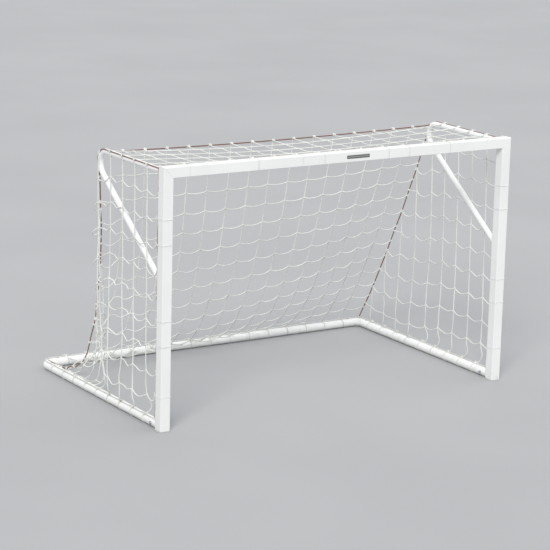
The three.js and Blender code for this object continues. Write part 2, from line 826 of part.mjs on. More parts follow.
// Up the left post, along the crossbar and down the right post.
function frontRope() {
  const x = WIDTH / 2 - EDGE_ROPE / 2;
  const z = HEIGHT - EDGE_ROPE / 2 - GAP;
  const upTo = (sign) => [
    [sign * x, frontRopeY, netBottom],
    [sign * x, frontRopeY, z - 8],
    [sign * (x - 2.5), frontRopeY, z - 2.5],
    [sign * (x - 8), frontRopeY, z],
  ];
  return edgeRope([...upTo(-1), ...upTo(1).reverse()]);
}

// Along the tops of the three ground bars, just outside their middles.
function groundRope() {
  const offset = 10.2; // outwards from the bars' axes
  const clear = BAR_OD / 2 + EDGE_ROPE / 2 + GAP + 0.2; // between rope and bar axes
  const x = postX + offset;
  const y = rearBarY + offset;
  const z = barZ + Math.sqrt(clear * clear - offset * offset);
  const radius = ELBOW_R + offset;
  const sideRun = (sign) => [
    [sign * x, netFrontY, z],
    ...[0, 30, 60, 90].map((degrees) => {
      const angle = (degrees * Math.PI) / 180;
      return [
        sign * (x - radius + radius * Math.cos(angle)),
        y - radius + radius * Math.sin(angle),
        z,
      ];
    }),
  ];
  return edgeRope([...sideRun(-1), ...sideRun(1).reverse()]);
}

// Stretched between the two supports, inside their bends.
function rearTopRope() {
  const end = postX - STAY_OD / 2 - 1;
  const y = front + STAY_REACH - 12;
  return rodAlongX(y, bendZ + 30, -end, end, EDGE_ROPE / 2, ROPE_SEGMENTS);
}

addPiece("net_front_rope", frontRope(), ropeCord);
addPiece("net_ground_rope", groundRope(), netCord);
addPiece("rear_top_rope", rearTopRope(), ropeCord);

export default goal;
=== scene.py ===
import math

import bmesh
import bpy
import numpy as np
from mathutils import Matrix, Vector


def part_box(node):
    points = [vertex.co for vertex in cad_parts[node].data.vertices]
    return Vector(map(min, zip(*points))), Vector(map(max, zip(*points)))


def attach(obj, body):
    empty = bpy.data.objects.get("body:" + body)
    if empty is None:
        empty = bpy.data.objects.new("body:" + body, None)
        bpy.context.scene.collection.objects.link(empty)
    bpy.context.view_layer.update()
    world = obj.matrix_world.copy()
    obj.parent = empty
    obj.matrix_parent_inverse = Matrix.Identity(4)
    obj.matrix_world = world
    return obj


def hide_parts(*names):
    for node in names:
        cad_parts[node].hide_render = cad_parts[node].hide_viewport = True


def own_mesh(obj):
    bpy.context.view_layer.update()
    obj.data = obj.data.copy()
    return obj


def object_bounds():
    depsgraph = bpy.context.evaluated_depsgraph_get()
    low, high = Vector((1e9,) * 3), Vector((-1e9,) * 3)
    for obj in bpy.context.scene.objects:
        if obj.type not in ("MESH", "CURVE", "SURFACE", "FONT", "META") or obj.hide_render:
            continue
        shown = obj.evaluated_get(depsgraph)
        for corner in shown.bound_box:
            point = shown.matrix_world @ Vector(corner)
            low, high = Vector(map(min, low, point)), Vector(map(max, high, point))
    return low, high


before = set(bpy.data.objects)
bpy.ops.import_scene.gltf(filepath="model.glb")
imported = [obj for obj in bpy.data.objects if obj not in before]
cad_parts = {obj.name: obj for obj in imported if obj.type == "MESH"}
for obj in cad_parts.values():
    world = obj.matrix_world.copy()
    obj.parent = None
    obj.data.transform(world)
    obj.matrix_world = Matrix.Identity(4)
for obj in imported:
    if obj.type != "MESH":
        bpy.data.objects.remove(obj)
cad_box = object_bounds()
ROOT = "goal_frame"
SIDES = (("left", -1), ("right", 1))  # name, sign of x

# ---------------------------------------------------------------- measurements from the frame
post_lo, post_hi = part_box("right_post")
bar_lo, bar_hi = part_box("right_ground_bar")
rear_lo, rear_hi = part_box("rear_ground_bar")
stay_lo, stay_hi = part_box("right_net_support")

# posts and crossbar, square tubes
POST = post_hi.x - post_lo.x
HALF = post_hi.x
HEIGHT = post_hi.z
POST_X = (post_lo.x + post_hi.x) / 2
FRONT_Y = post_lo.y
BACK_Y = post_hi.y
POST_Y = (FRONT_Y + BACK_Y) / 2
CROSS_Z = HEIGHT - POST / 2
# ground bars and rear elbows, round tubes
BAR_R = (bar_hi.z - bar_lo.z) / 2
BAR_Z = (bar_hi.z + bar_lo.z) / 2
BAR_WALL = 0.00165
REAR_Y = (rear_lo.y + rear_hi.y) / 2
ELBOW_R = 0.036
ELBOW_WALL = 0.0026
ELBOW_Y = REAR_Y - ELBOW_R
ELBOW_X = POST_X - ELBOW_R
SPIGOT_R = 0.01845
SPIGOT_BORE = 0.01645
SPIGOT_REACH = 0.070
BUTTON = 0.035  # from the end of a bar to its snap button
BAR_HOLE_R = 0.0045
SPIGOT_HOLE_R = 0.0046
# net supports: a bent tube between two plates on each post
PLATE_FRONT = stay_lo.y
PLATE_BACK = stay_lo.y + 0.005
TOP_PLATE = (1.118, 1.212)  # lowest and highest z
STAY_R = 0.01335
BEND_R = 0.060
BEND_Y = stay_hi.y - STAY_R - BEND_R
BEND_Z = CROSS_Z - BEND_R
STAY_FOOT = 0.686
FOOT_PLATE = (STAY_FOOT - 0.054, STAY_FOOT + 0.054)
STRAIGHT_STEPS = 5
BEND_STEPS = 44
# slope of the lower leg, found by iteration so that it leaves the bend as a tangent
FALL = 0.5
for _ in range(60):
    FALL = math.atan2(
        BEND_Z - BEND_R * math.cos(FALL) - STAY_FOOT,
        BEND_Y + BEND_R * math.sin(FALL) - PLATE_BACK,
    )
# plain strip on the front of the crossbar
LABEL_X = 0.070
LABEL_HALF = (0.064, 0.009)

# ---------------------------------------------------------------- net measurements
ROPE_R = 0.0031  # border ropes
TWINE_R = 0.0025  # the net's own cords
TIE_R = 0.00125
ROPE_GAP = 0.0002
ROPE_LIE = STAY_R + ROPE_R + ROPE_GAP  # support tube's centre to its rope's
POST_EDGE = HALF - ROPE_R - 0.0001
POST_ROPE_Y = PLATE_BACK + ROPE_GAP + ROPE_R
CROSS_ROPE_Y = BACK_Y + ROPE_R + ROPE_GAP
CROSS_ROPE_Z = HEIGHT - ROPE_R - ROPE_GAP
GROUND_OFF = 0.0102  # the ground rope lies this far outside the bars' centre line
GROUND_R = ELBOW_R + GROUND_OFF
GROUND_ARC = GROUND_R * math.pi / 4
GROUND_ROPE_Z = BAR_Z + math.sqrt((BAR_R + ROPE_R + ROPE_GAP) ** 2 - GROUND_OFF**2)
REAR_ROPE_ANGLE = math.radians(48)  # how far round the support's bend the rear rope lies
REAR_SAG = 0.012
BORDER_X = 0.955
CORNER = {sign: (sign * 0.9585, -0.5590, 1.2118) for _, sign in SIDES}  # top front corners

# squares: COLS across, TOP deep on top, BACK down the back, SIDE_ROWS down each side
COLS, TOP, BACK, SIDE_ROWS = 16, 5, 13, 10
SUBS = 4  # spans of simulated cord to a square
# cord lengths
SEAM = {-1: 1.45, 1: 1.284}
TOP_ROW = 1.903
BACK_ROW = 1.874
TOP_COLUMN = 0.588
BACK_COLUMN = {-1: 1.405, 1: 1.286}
ROW_SHARE = [0.125, 0.12] + [0.1065] * 11  # share of a back column taken by each row
SIDE_CELL = {-1: 0.1200, 1: 0.1180}
SIDE_DROP = {-1: 0.1185, 1: 0.1175}


# ---------------------------------------------------------------- curves
def lengths_along(points):
    steps = np.linalg.norm(np.diff(points, axis=0), axis=1)
    return np.concatenate([[0], np.cumsum(steps)])


def smooth_path(points, per):
    """A Catmull-Rom curve through points, with per samples to each span."""
    points = np.asarray(points, float)
    spans = np.arange(len(points) - 1)
    a, b, c, d = (points[np.clip(spans + k, 0, len(points) - 1)] for k in (-1, 0, 1, 2))
    out = []
    for i in range(per):
        t = i / per
        square = (2 * a - 5 * b + 4 * c - d) * t * t
        cube = (3 * b - a - 3 * c + d) * t**3
        out.append(0.5 * (2 * b + (c - a) * t + square + cube))
    return np.vstack([np.stack(out, 1).reshape(-1, 3), points[-1:]])


def resample(points, spacing, closed=False):
    """The same polyline with evenly spaced points."""
    points = np.asarray(points, float)
    if closed:
        points = np.vstack([points, points[:1]])
    along = lengths_along(points)
    count = max(2, int(round(along[-1] / spacing)))
    marks = np.linspace(0, along[-1], count + 1)
    if closed:
        marks = marks[:-1]
    return np.stack([np.interp(marks, along, points[:, k]) for k in range(3)], 1)


def frames_along(points, closed=False, up=None):
    """Tangent, normal and binormal at each point, turning as little as they can."""
    if closed:
        tangent = np.roll(points, -1, 0) - np.roll(points, 1, 0)
    else:
        tangent = np.gradient(points, axis=0)
    tangent /= np.linalg.norm(tangent, axis=1)[:, None] + 1e-15
    normal = np.zeros_like(tangent)
    if up is None:
        up = (0, 0, 1) if abs(tangent[0, 2]) < 0.8 else (0, 1, 0)
    way = np.array(up, float)
    way -= way @ tangent[0] * tangent[0]
    way /= np.linalg.norm(way)
    normal[0] = way
    for i in range(1, len(tangent)):
        way = way - (way @ tangent[i]) * tangent[i]
        way /= math.sqrt(way @ way)
        normal[i] = way
    binormal = np.cross(tangent, normal)
    if closed:  # take out the turn left over after one lap
        way = normal[-1] - (normal[-1] @ tangent[0]) * tangent[0]
        left_over = math.atan2(way @ binormal[0], way @ normal[0])
        turn = -left_over * np.arange(len(tangent)) / len(tangent)
        cos, sin = np.cos(turn)[:, None], np.sin(turn)[:, None]
        normal, binormal = normal * cos + binormal * sin, binormal * cos - normal * sin
    return tangent, normal, binormal


def rounded_outline(x, z, half_width, half_height, radius, steps):
    """Points round an upright rectangle with rounded corners, centred on (x, z)."""
    points = []
    for n, (sign_x, sign_z) in enumerate(((1, 1), (-1, 1), (-1, -1), (1, -1))):
        for i in range(steps + 1):
            angle = math.radians(90 * n + 90 * i / steps)
            points.append((
                x + sign_x * (half_width - radius) + radius * math.cos(angle),
                z + sign_z * (half_height - radius) + radius * math.sin(angle),
            ))
    return points


# ---------------------------------------------------------------- mesh helpers
def add_object(name, mesh, material, slot=None):
    """Links a mesh as an object. With a slot, it rides on the frame."""
    mesh.materials.append(material)
    obj = bpy.data.objects.new(name, mesh)
    bpy.context.scene.collection.objects.link(obj)
    if slot:
        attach(obj, ROOT)
    return obj


def shade(mesh, sharp=None):
    """Smooth shading, with edges over sharp degrees kept sharp."""
    mesh.polygons.foreach_set("use_smooth", [True] * len(mesh.polygons))
    if sharp:
        mesh.set_sharp_from_angle(angle=math.radians(sharp))


def object_from(bm, name, material, slot=None, sharp=None):
    mesh = bpy.data.meshes.new(name)
    bmesh.ops.recalc_face_normals(bm, faces=bm.faces)
    bm.to_mesh(mesh)
    bm.free()
    shade(mesh, sharp)
    return add_object(name, mesh, material, slot)


def coated(bm, name, sharp=None):
    return object_from(bm, name, COAT, "powder_coat", sharp)


def skin(bm, rings, around=False):
    """Quads from each ring to the next, and from the last to the first if around."""
    for near, far in zip(rings, rings[1:] + (rings[:1] if around else [])):
        for i in range(len(near)):
            j = (i + 1) % len(near)
            bm.faces.new((near[i], near[j], far[j], far[i]))


def skin_and_cap(bm, rings):
    skin(bm, rings)
    bm.faces.new(list(reversed(rings[0])))
    bm.faces.new(rings[-1])


def lathe(bm, profile, segments, matrix):
    """Turns (radius, height) about Z, then places it by matrix. A radius of 0 is on the axis."""
    rings = []
    for radius, z in profile:
        count = 1 if radius < 1e-9 else segments
        rings.append([])
        for i in range(count):
            angle = 2 * math.pi * i / segments
            local = Vector((radius * math.cos(angle), radius * math.sin(angle), z))
            rings[-1].append(bm.verts.new(matrix @ local))
    pairs = list(zip(rings, rings[1:]))
    if profile[0][0] > 1e-9 or profile[-1][0] > 1e-9:
        pairs.append((rings[-1], rings[0]))
    for near, far in pairs:
        for i in range(segments):
            j = (i + 1) % segments
            face = []
            corners = (near[i % len(near)], near[j % len(near)])
            corners += (far[j % len(far)], far[i % len(far)])
            for vert in corners:
                if vert not in face:
                    face.append(vert)
            if len(face) > 2:
                bm.faces.new(face)


def circle_at(bm, centre, radius, normal, binormal, segments):
    ring = []
    for k in range(segments):
        angle = 2 * math.pi * k / segments
        way = math.cos(angle) * normal + math.sin(angle) * binormal
        ring.append(bm.verts.new(Vector(centre + radius * way)))
    return ring


def swept_shell(bm, path, outer, inner, segments, edge):
    """A hollow round tube along a path, with its end edges eased."""
    path = np.asarray(path, float)
    tangent, normal, binormal = frames_along(path)
    last = len(path) - 1

    def ring(i, radius, shift=0.0):
        centre = path[i] + tangent[i] * shift
        return circle_at(bm, centre, radius, normal[i], binormal[i], segments)

    rings = [ring(0, outer - edge), ring(0, outer, edge)]
    rings += [ring(i, outer) for i in range(1, last)]
    rings += [ring(last, outer, -edge), ring(last, outer - edge)]
    rings += [ring(last, inner + edge / 2), ring(last, inner, -edge)]
    rings += [ring(i, inner) for i in range(last - 1, 0, -1)]
    rings += [ring(0, inner, edge), ring(0, inner + edge / 2)]
    skin(bm, rings, around=True)


def button_cutter(x, y, radius):
    """A cylinder from a bar's centre line up through its wall."""
    bm = bmesh.new()
    rise = Vector((0, 0, 0.03))
    place = Matrix.Translation((x, y, BAR_Z)) @ rise.to_track_quat("Z", "Y").to_matrix().to_4x4()
    lathe(bm, [(0, 0), (radius, 0), (radius, rise.length), (0, rise.length)], 40, place)
    return object_from(bm, "cutter", COAT)


def carve(obj, holes, radius):
    """Cuts button holes at each (x, y), and leaves the result as the object's mesh."""
    cutters = [button_cutter(x, y, radius) for x, y in holes]
    for cutter in cutters:
        cut = obj.modifiers.new("cut", "BOOLEAN")
        cut.operation = "DIFFERENCE"
        cut.solver = "EXACT"
        cut.object = cutter
    bpy.context.view_layer.update()
    depsgraph = bpy.context.evaluated_depsgraph_get()
    mesh = bpy.data.meshes.new_from_object(obj.evaluated_get(depsgraph))
    old = obj.data
    obj.modifiers.clear()
    obj.data = mesh
    mesh.name = old.name
    bpy.data.meshes.remove(old)
    for cutter in cutters:
        bpy.data.objects.remove(cutter)
    shade(mesh, 38)


class Bag:
    """Collects tubes and small meshes into one mesh. UVs: u in metres along, v once round."""

    def __init__(self):
        self.verts, self.quads, self.uvs, self.tris, self.count = [], [], [], [], 0

    def put(self, verts, quads, uvs, tris=None):
        self.quads.append(quads + self.count)
        self.uvs.append(uvs)
        if tris is not None:
            self.tris.append(tris + self.count)
        self.verts.append(verts)
        self.count += len(verts)

    def tube(self, path, radius, sides=6, closed=False, strands=0, lay=0.0, taper=0.0):
        """A tube along a path. Strands are laid round it once in each lay's length."""
        path = np.asarray(path, float)
        tangent, normal, binormal = frames_along(path, closed)
        count = len(path)
        along = lengths_along(path)
        k = np.arange(sides)
        turn = (2 * math.pi * k / sides)[None, :]
        reach = np.full((1, sides), radius, float)
        if strands:
            share = np.abs(np.sin(strands * math.pi * k / sides)) ** 0.7
            reach = reach * (1 - 0.26 * (1 - share))
            turn = turn + (2 * math.pi * along / lay)[:, None]
        ring = path[:, None, :] + reach[..., None] * (
            np.cos(turn)[..., None] * normal[:, None, :]
            + np.sin(turn)[..., None] * binormal[:, None, :]
        )
        verts = ring.reshape(-1, 3)
        rows = np.arange(count if closed else count - 1)
        if closed:
            along = np.append(along, along[-1] + np.linalg.norm(path[0] - path[-1]))
        here = rows[:, None] * sides
        there = (rows[:, None] + 1) % count * sides
        k1 = (k + 1) % sides
        quads = np.stack([here + k, here + k1, there + k1, there + k], -1).reshape(-1, 4)
        u0, u1 = along[rows], along[rows + 1]
        v0, v1 = k / sides, (k + 1) / sides
        u = np.stack([u0, u0, u1, u1], -1)[:, None, :]
        v = np.stack([v0, v1, v1, v0], -1)[None, :, :]
        uvs = np.stack(np.broadcast_arrays(u, v), -1).reshape(-1, 4, 2)
        tris = None
        if not closed:
            ends = (path[:1] - tangent[:1] * taper, path[-1:] + tangent[-1:] * taper)
            tip = len(verts)
            verts = np.vstack([verts, *ends])
            base = (count - 1) * sides
            tris = np.vstack([
                np.stack([np.full(sides, tip), k1, k], -1),
                np.stack([np.full(sides, tip + 1), base + k, base + k1], -1),
            ])
        self.put(verts, quads, uvs, tris)

    def build(self, name, material, slot):
        mesh = bpy.data.meshes.new(name)
        verts, quads, tris = np.vstack(self.verts), np.vstack(self.quads), np.vstack(self.tris)
        loops = np.concatenate([quads.ravel(), tris.ravel()]).astype(np.int32)
        starts = np.concatenate([np.arange(len(quads)) * 4, quads.size + np.arange(len(tris)) * 3])
        mesh.vertices.add(len(verts))
        mesh.vertices.foreach_set("co", verts.astype(np.float32).ravel())
        mesh.loops.add(len(loops))
        mesh.loops.foreach_set("vertex_index", loops)
        mesh.polygons.add(len(starts))
        mesh.polygons.foreach_set("loop_start", starts.astype(np.int32))
        mesh.polygons.foreach_set("use_smooth", np.full(len(starts), True))
        layer = mesh.uv_layers.new(name="UVMap")
        uvs = np.vstack([part.reshape(-1, 2) for part in self.uvs] + [np.zeros((tris.size, 2))])
        layer.data.foreach_set("uv", uvs.astype(np.float32).ravel())
        mesh.update(calc_edges=True)
        mesh.validate()
        return add_object(name, mesh, material, slot)


# ---------------------------------------------------------------- materials
class Shader:
    """A small helper to write a node tree in a few lines."""

    def __init__(self, name):
        self.material = bpy.data.materials.new(name)
        self.material.use_nodes = True
        self.tree = self.material.node_tree
        self.tree.nodes.clear()
        output = self.add("ShaderNodeOutputMaterial")
        self.bsdf = self.add("ShaderNodeBsdfPrincipled")
        self.link(self.bsdf.outputs[0], output.inputs[0])

    def add(self, kind, **props):
        node = self.tree.nodes.new(kind)
        for key, value in props.items():
            setattr(node, key, value)
        return node

    def link(self, source, target):
        self.tree.links.new(source, target)

    def put(self, socket, value):
        if isinstance(value, bpy.types.NodeSocket):
            self.link(value, socket)
        else:
            socket.default_value = value

    def set(self, **values):
        for key, value in values.items():
            self.put(self.bsdf.inputs[key.replace("_", " ")], value)

    def math(self, kind, left, right=0.0, clamp=False):
        node = self.add("ShaderNodeMath", operation=kind, use_clamp=clamp)
        self.put(node.inputs[0], left)
        self.put(node.inputs[1], right)
        return node.outputs[0]

    def times(self, left, right, clamp=False):
        return self.math("MULTIPLY", left, right, clamp)

    def plus(self, left, right, clamp=False):
        return self.math("ADD", left, right, clamp)

    def size(self, value):
        return self.math("ABSOLUTE", value)

    def position(self):
        return self.add("ShaderNodeTexCoord").outputs["Object"]

    def split(self, vector):
        node = self.add("ShaderNodeSeparateXYZ")
        self.link(vector, node.inputs[0])
        return node.outputs

    def scaled(self, vector, scale):
        node = self.add("ShaderNodeMapping")
        self.link(vector, node.inputs[0])
        node.inputs["Scale"].default_value = scale
        return node.outputs[0]

    def noise(self, vector, scale=1.0, detail=2.0, roughness=0.5):
        node = self.add("ShaderNodeTexNoise")
        self.link(vector, node.inputs["Vector"])
        node.inputs["Scale"].default_value = scale
        node.inputs["Detail"].default_value = detail
        node.inputs["Roughness"].default_value = roughness
        return node.outputs["Fac"]

    def ramp(self, value, over, to=(0.0, 1.0)):
        """Maps the range over smoothly to the range to."""
        node = self.add("ShaderNodeMapRange", clamp=True, interpolation_type="SMOOTHSTEP")
        self.put(node.inputs["Value"], value)
        node.inputs["From Min"].default_value = over[0]
        node.inputs["From Max"].default_value = over[1]
        node.inputs["To Min"].default_value = to[0]
        node.inputs["To Max"].default_value = to[1]
        return node.outputs[0]

    def mix(self, factor, first, second):
        node = self.add("ShaderNodeMix", data_type="RGBA")
        self.put(node.inputs[0], factor)
        for socket, value in ((node.inputs[6], first), (node.inputs[7], second)):
            is_socket = isinstance(value, bpy.types.NodeSocket)
            self.put(socket, value if is_socket else (*value, 1.0))
        return node.outputs[2]

    def bump(self, height, distance, strength):
        node = self.add("ShaderNodeBump")
        self.link(height, node.inputs["Height"])
        node.inputs["Distance"].default_value = distance
        node.inputs["Strength"].default_value = strength
        return node.outputs[0]


SOIL = (0.30, 0.27, 0.19)


def powder_coat():
    mat = Shader("white_powder_coat")
    place = mat.position()
    z = mat.split(place)[2]
    peel = mat.noise(place, scale=400, detail=1.5)
    broad = mat.noise(place, scale=60)
    tone = mat.noise(place, scale=2.3, detail=3.0)
    white = (0.785, 0.79, 0.78)
    pale = (0.83, 0.835, 0.825)
    base = mat.mix(mat.ramp(tone, over=(0.3, 0.7)), white, pale)
    # faint grey smears, denser on the lower half
    smear = mat.noise(mat.scaled(place, (26, 26, 5)), detail=5.0, roughness=0.62)
    smear = mat.times(
        mat.ramp(smear, over=(0.58, 0.78)), mat.ramp(z, over=(1.3, 0.0), to=(0.08, 0.20))
    )
    base = mat.mix(smear, base, (0.58, 0.58, 0.55))
    # soil and grass stains near the ground
    soil = mat.noise(place, scale=34, detail=6.0, roughness=0.66)
    low = mat.ramp(z, over=(0.075, 0.0))
    soiled = mat.times(mat.ramp(soil, over=(0.50, 0.74)), mat.times(low, 0.34), clamp=True)
    base = mat.mix(soiled, base, SOIL)
    grass = mat.times(
        mat.ramp(mat.noise(place, scale=15, detail=4.0), over=(0.55, 0.72)),
        mat.times(mat.ramp(z, over=(0.03, 0.0)), 0.22),
        clamp=True,
    )
    base = mat.mix(grass, base, (0.25, 0.36, 0.16))
    # fine scratches that dull the gloss
    upright = mat.noise(mat.scaled(place, (900, 70, 70)))
    level = mat.noise(mat.scaled(place, (80, 80, 760)))
    scratches = mat.math(
        "MAXIMUM", mat.ramp(upright, over=(0.66, 0.74)), mat.ramp(level, over=(0.66, 0.74))
    )
    rough = mat.plus(
        mat.ramp(broad, over=(0.3, 0.7), to=(0.30, 0.40)), mat.times(scratches, 0.12)
    )
    rough = mat.plus(rough, mat.times(soiled, 0.35), clamp=True)
    height = mat.plus(peel, mat.times(broad, 0.5))
    # the coat is rubbed and chipped here and there along the edges
    soft = mat.add("ShaderNodeBevel", samples=4)
    soft.inputs["Radius"].default_value = 0.0022
    geometry = mat.add("ShaderNodeNewGeometry")
    turn = mat.add("ShaderNodeVectorMath", operation="DOT_PRODUCT")
    mat.link(soft.outputs[0], turn.inputs[0])
    mat.link(geometry.outputs["Normal"], turn.inputs[1])
    edge = mat.ramp(turn.outputs["Value"], over=(0.985, 0.90))
    worn = mat.noise(place, scale=17, detail=5.0, roughness=0.7)
    rubbed = mat.times(edge, mat.ramp(worn, over=(0.52, 0.66)), clamp=True)
    base = mat.mix(mat.times(rubbed, 0.55), base, (0.60, 0.60, 0.585))
    flaked = mat.noise(place, scale=95, detail=4.0, roughness=0.65)
    chip = mat.times(edge, mat.ramp(flaked, over=(0.66, 0.69)), clamp=True)
    base = mat.mix(mat.times(chip, 0.8), base, (0.33, 0.33, 0.335))
    rough = mat.plus(rough, mat.times(rubbed, 0.18), clamp=True)
    normal = mat.bump(height, distance=0.00018, strength=0.65)
    mat.set(Base_Color=base, Roughness=rough, Normal=normal)
    mat.set(Coat_Weight=0.25, Coat_Roughness=0.16, IOR=1.5)
    return mat.material


def metal(name, colour, rough, brushed=(60, 60, 900), blotch=0.1):
    """Bare metal. brushed scales the grain on each axis, blotch is the share of brown stain."""
    mat = Shader(name)
    place = mat.position()
    grain = mat.noise(mat.scaled(place, brushed))
    spangle = mat.noise(place, scale=380, detail=3.0)
    dull = mat.noise(place, scale=140, detail=4.0, roughness=0.6)
    dark = tuple(channel * 0.72 for channel in colour)
    base = mat.mix(mat.ramp(dull, over=(0.35, 0.7)), colour, dark)
    stain = mat.noise(place, scale=55, detail=5.0, roughness=0.7)
    stain = mat.times(mat.ramp(stain, over=(0.6, 0.75)), blotch)
    base = mat.mix(stain, base, (0.30, 0.24, 0.18))
    rough = mat.plus(rough, mat.times(spangle, 0.22))
    normal = mat.bump(mat.plus(grain, spangle), distance=0.00006, strength=0.5)
    mat.set(Base_Color=base, Metallic=1.0, Roughness=rough, Normal=normal)
    return mat.material


def moulded_plastic():
    mat = Shader("foot_plastic")
    place = mat.position()
    grain = mat.noise(place, scale=900)
    wear = mat.noise(place, scale=45, detail=5.0, roughness=0.65)
    wear = mat.ramp(wear, over=(0.45, 0.7))
    base = mat.mix(mat.times(wear, 0.45), (0.66, 0.665, 0.645), (0.40, 0.37, 0.30))
    rough = mat.ramp(grain, over=(0.2, 0.8), to=(0.48, 0.62))
    normal = mat.bump(grain, distance=0.00012, strength=0.6)
    mat.set(Base_Color=base, Roughness=rough, Normal=normal)
    return mat.material


def laid_cord(name, light, dark, lay, strands, relief, groove):
    """Twine whose strands run round it in a helix. groove is how much painted shade darkens the
    gaps between them.
    """
    mat = Shader(name)
    uv = mat.add("ShaderNodeUVMap", uv_map="UVMap").outputs[0]
    along, around = mat.split(uv)[:2]
    phase = mat.plus(mat.times(along, 1.0 / lay), mat.times(around, float(strands)))
    saw = mat.math("FRACT", phase)
    hump = mat.math("SINE", mat.times(saw, math.pi))
    place = mat.position()
    stretched = mat.add("ShaderNodeCombineXYZ")
    mat.link(mat.times(along, 160.0), stretched.inputs[0])
    twisted = mat.plus(mat.times(along, 1.0 / (lay * strands)), around)
    mat.link(mat.times(twisted, 22.0), stretched.inputs[1])
    fuzz = mat.noise(stretched.outputs[0], detail=4.0, roughness=0.65)
    tone = mat.noise(place, scale=7.0, detail=4.0, roughness=0.6)
    dimmed = tuple(0.82 * channel for channel in light)
    base = mat.mix(mat.ramp(tone, over=(0.34, 0.68)), light, dimmed)
    # painted shade: the gaps between the strands are darkened towards dark, by the share groove
    base = mat.mix(mat.times(mat.ramp(hump, over=(0.75, 0.05)), groove), base, dark)
    base = mat.mix(mat.times(mat.ramp(fuzz, over=(0.5, 0.85)), 0.25), base, dark)
    z = mat.split(place)[2]
    grime = mat.times(
        mat.ramp(z, over=(0.12, 0.0)),
        mat.ramp(mat.noise(place, scale=25, detail=4.0), over=(0.3, 0.7)),
        clamp=True,
    )
    base = mat.mix(mat.times(grime, 0.4), base, SOIL)
    height = mat.plus(mat.times(hump, 1.0), mat.times(fuzz, 0.35))
    rough = mat.ramp(fuzz, over=(0.2, 0.8), to=(0.62, 0.86))
    normal = mat.bump(height, distance=relief, strength=0.9)
    mat.set(Base_Color=base, Roughness=rough, Normal=normal)
    mat.set(Sheen_Weight=0.25, Sheen_Roughness=0.5)
    return mat.material


def rope(name, light, dark, strands=3):
    """Rope with modelled strands, a groove at each v = n / strands. Adds yarns, tone and fading,
    and painted shade between the yarns and in the grooves.
    """
    mat = Shader(name)
    uv = mat.add("ShaderNodeUVMap", uv_map="UVMap").outputs[0]
    along, around = mat.split(uv)[:2]
    hump = mat.size(mat.math("SINE", mat.times(around, math.pi * strands)))
    # yarns cross each strand at a slant
    slant = mat.plus(mat.times(along, 620.0), mat.times(around, 9.0))
    yarns = mat.size(mat.math("SINE", mat.times(slant, math.pi)))
    stretched = mat.add("ShaderNodeCombineXYZ")
    twisted = mat.plus(along, mat.times(around, 0.014))
    mat.link(mat.times(twisted, 500.0), stretched.inputs[0])
    mat.link(mat.times(around, 26.0), stretched.inputs[1])
    fibre = mat.noise(stretched.outputs[0], detail=4.0, roughness=0.65)
    place = mat.position()
    tone = mat.noise(place, scale=11.0, detail=4.0, roughness=0.6)
    faded = mat.noise(place, scale=2.1)
    middle = tuple(0.5 * (a + b) for a, b in zip(light, dark))
    bleached = tuple(min(1.0, channel * 1.35 + 0.03) for channel in light)
    pale = tuple(min(1.0, channel * 1.6 + 0.05) for channel in light)
    deep = tuple(channel * 0.45 for channel in dark)
    base = mat.mix(mat.ramp(tone, over=(0.3, 0.7)), light, middle)
    base = mat.mix(mat.times(mat.ramp(faded, over=(0.45, 0.75)), 0.3), base, bleached)
    base = mat.mix(mat.times(mat.ramp(fibre, over=(0.48, 0.74)), 0.5), base, pale)
    # painted shade: darker between the yarns
    base = mat.mix(mat.times(mat.ramp(yarns, over=(0.5, 0.0)), 0.55), base, dark)
    # painted shade: darker still in the grooves between the strands
    base = mat.mix(mat.times(mat.ramp(hump, over=(0.62, 0.08)), 0.8), base, deep)
    height = mat.plus(mat.times(yarns, 0.8), mat.times(fibre, 0.6))
    rough = mat.ramp(fibre, over=(0.2, 0.8), to=(0.68, 0.9))
    normal = mat.bump(height, distance=0.0006, strength=0.9)
    mat.set(Base_Color=base, Roughness=rough, Normal=normal)
    mat.set(Sheen_Weight=0.3, Sheen_Roughness=0.5)
    return mat.material


def vinyl_label():
    """A plain dark strip with a pale line round it and one along it."""
    mat = Shader("label_vinyl")
    place = mat.position()
    x, _, z = mat.split(place)
    across = mat.math("SUBTRACT", x, LABEL_X)
    up = mat.math("SUBTRACT", z, CROSS_Z)
    line = mat.times(
        mat.math("LESS_THAN", mat.size(across), 0.058), mat.math("LESS_THAN", mat.size(up), 0.0009)
    )
    rim = mat.math(
        "MAXIMUM",
        mat.math("GREATER_THAN", mat.size(across), 0.0622),
        mat.math("GREATER_THAN", mat.size(up), 0.0072),
    )
    wear = mat.noise(place, scale=240, detail=6.0, roughness=0.7)
    wear = mat.ramp(wear, over=(0.60, 0.72))
    base = mat.mix(line, (0.125, 0.118, 0.115), (0.48, 0.47, 0.465))
    base = mat.mix(rim, base, (0.34, 0.335, 0.33))
    base = mat.mix(mat.times(wear, 0.55), base, (0.72, 0.72, 0.70))
    gloss = mat.noise(place, scale=90, detail=3.0)
    rough = mat.ramp(gloss, over=(0.3, 0.7), to=(0.28, 0.42))
    normal = mat.bump(mat.noise(place, scale=700), distance=0.00004, strength=0.5)
    mat.set(Base_Color=base, Roughness=rough, Normal=normal)
    return mat.material


COAT = powder_coat()
ZINC = metal("zinc_plate", colour=(0.62, 0.63, 0.645), rough=0.24, blotch=0.25)
SPRING = metal("spring_steel", colour=(0.50, 0.505, 0.51), rough=0.18, brushed=(900, 60, 60))
CAST = metal("cast_aluminium", colour=(0.55, 0.555, 0.56), rough=0.40)
PLASTIC = moulded_plastic()
TWINE = laid_cord(
    "net_twine", light=(0.86, 0.87, 0.83), dark=(0.46, 0.47, 0.42),
    lay=0.0095, strands=3, relief=0.0007, groove=0.5,
)
LACING = laid_cord(
    "lacing_cord", light=(0.88, 0.88, 0.86), dark=(0.62, 0.62, 0.60),
    lay=0.006, strands=4, relief=0.0004, groove=0.4,
)
ROPE = rope("border_rope", light=(0.255, 0.110, 0.070), dark=(0.125, 0.052, 0.035))
WHITE_ROPE = rope("base_rope", light=(0.76, 0.76, 0.73), dark=(0.60, 0.60, 0.57))
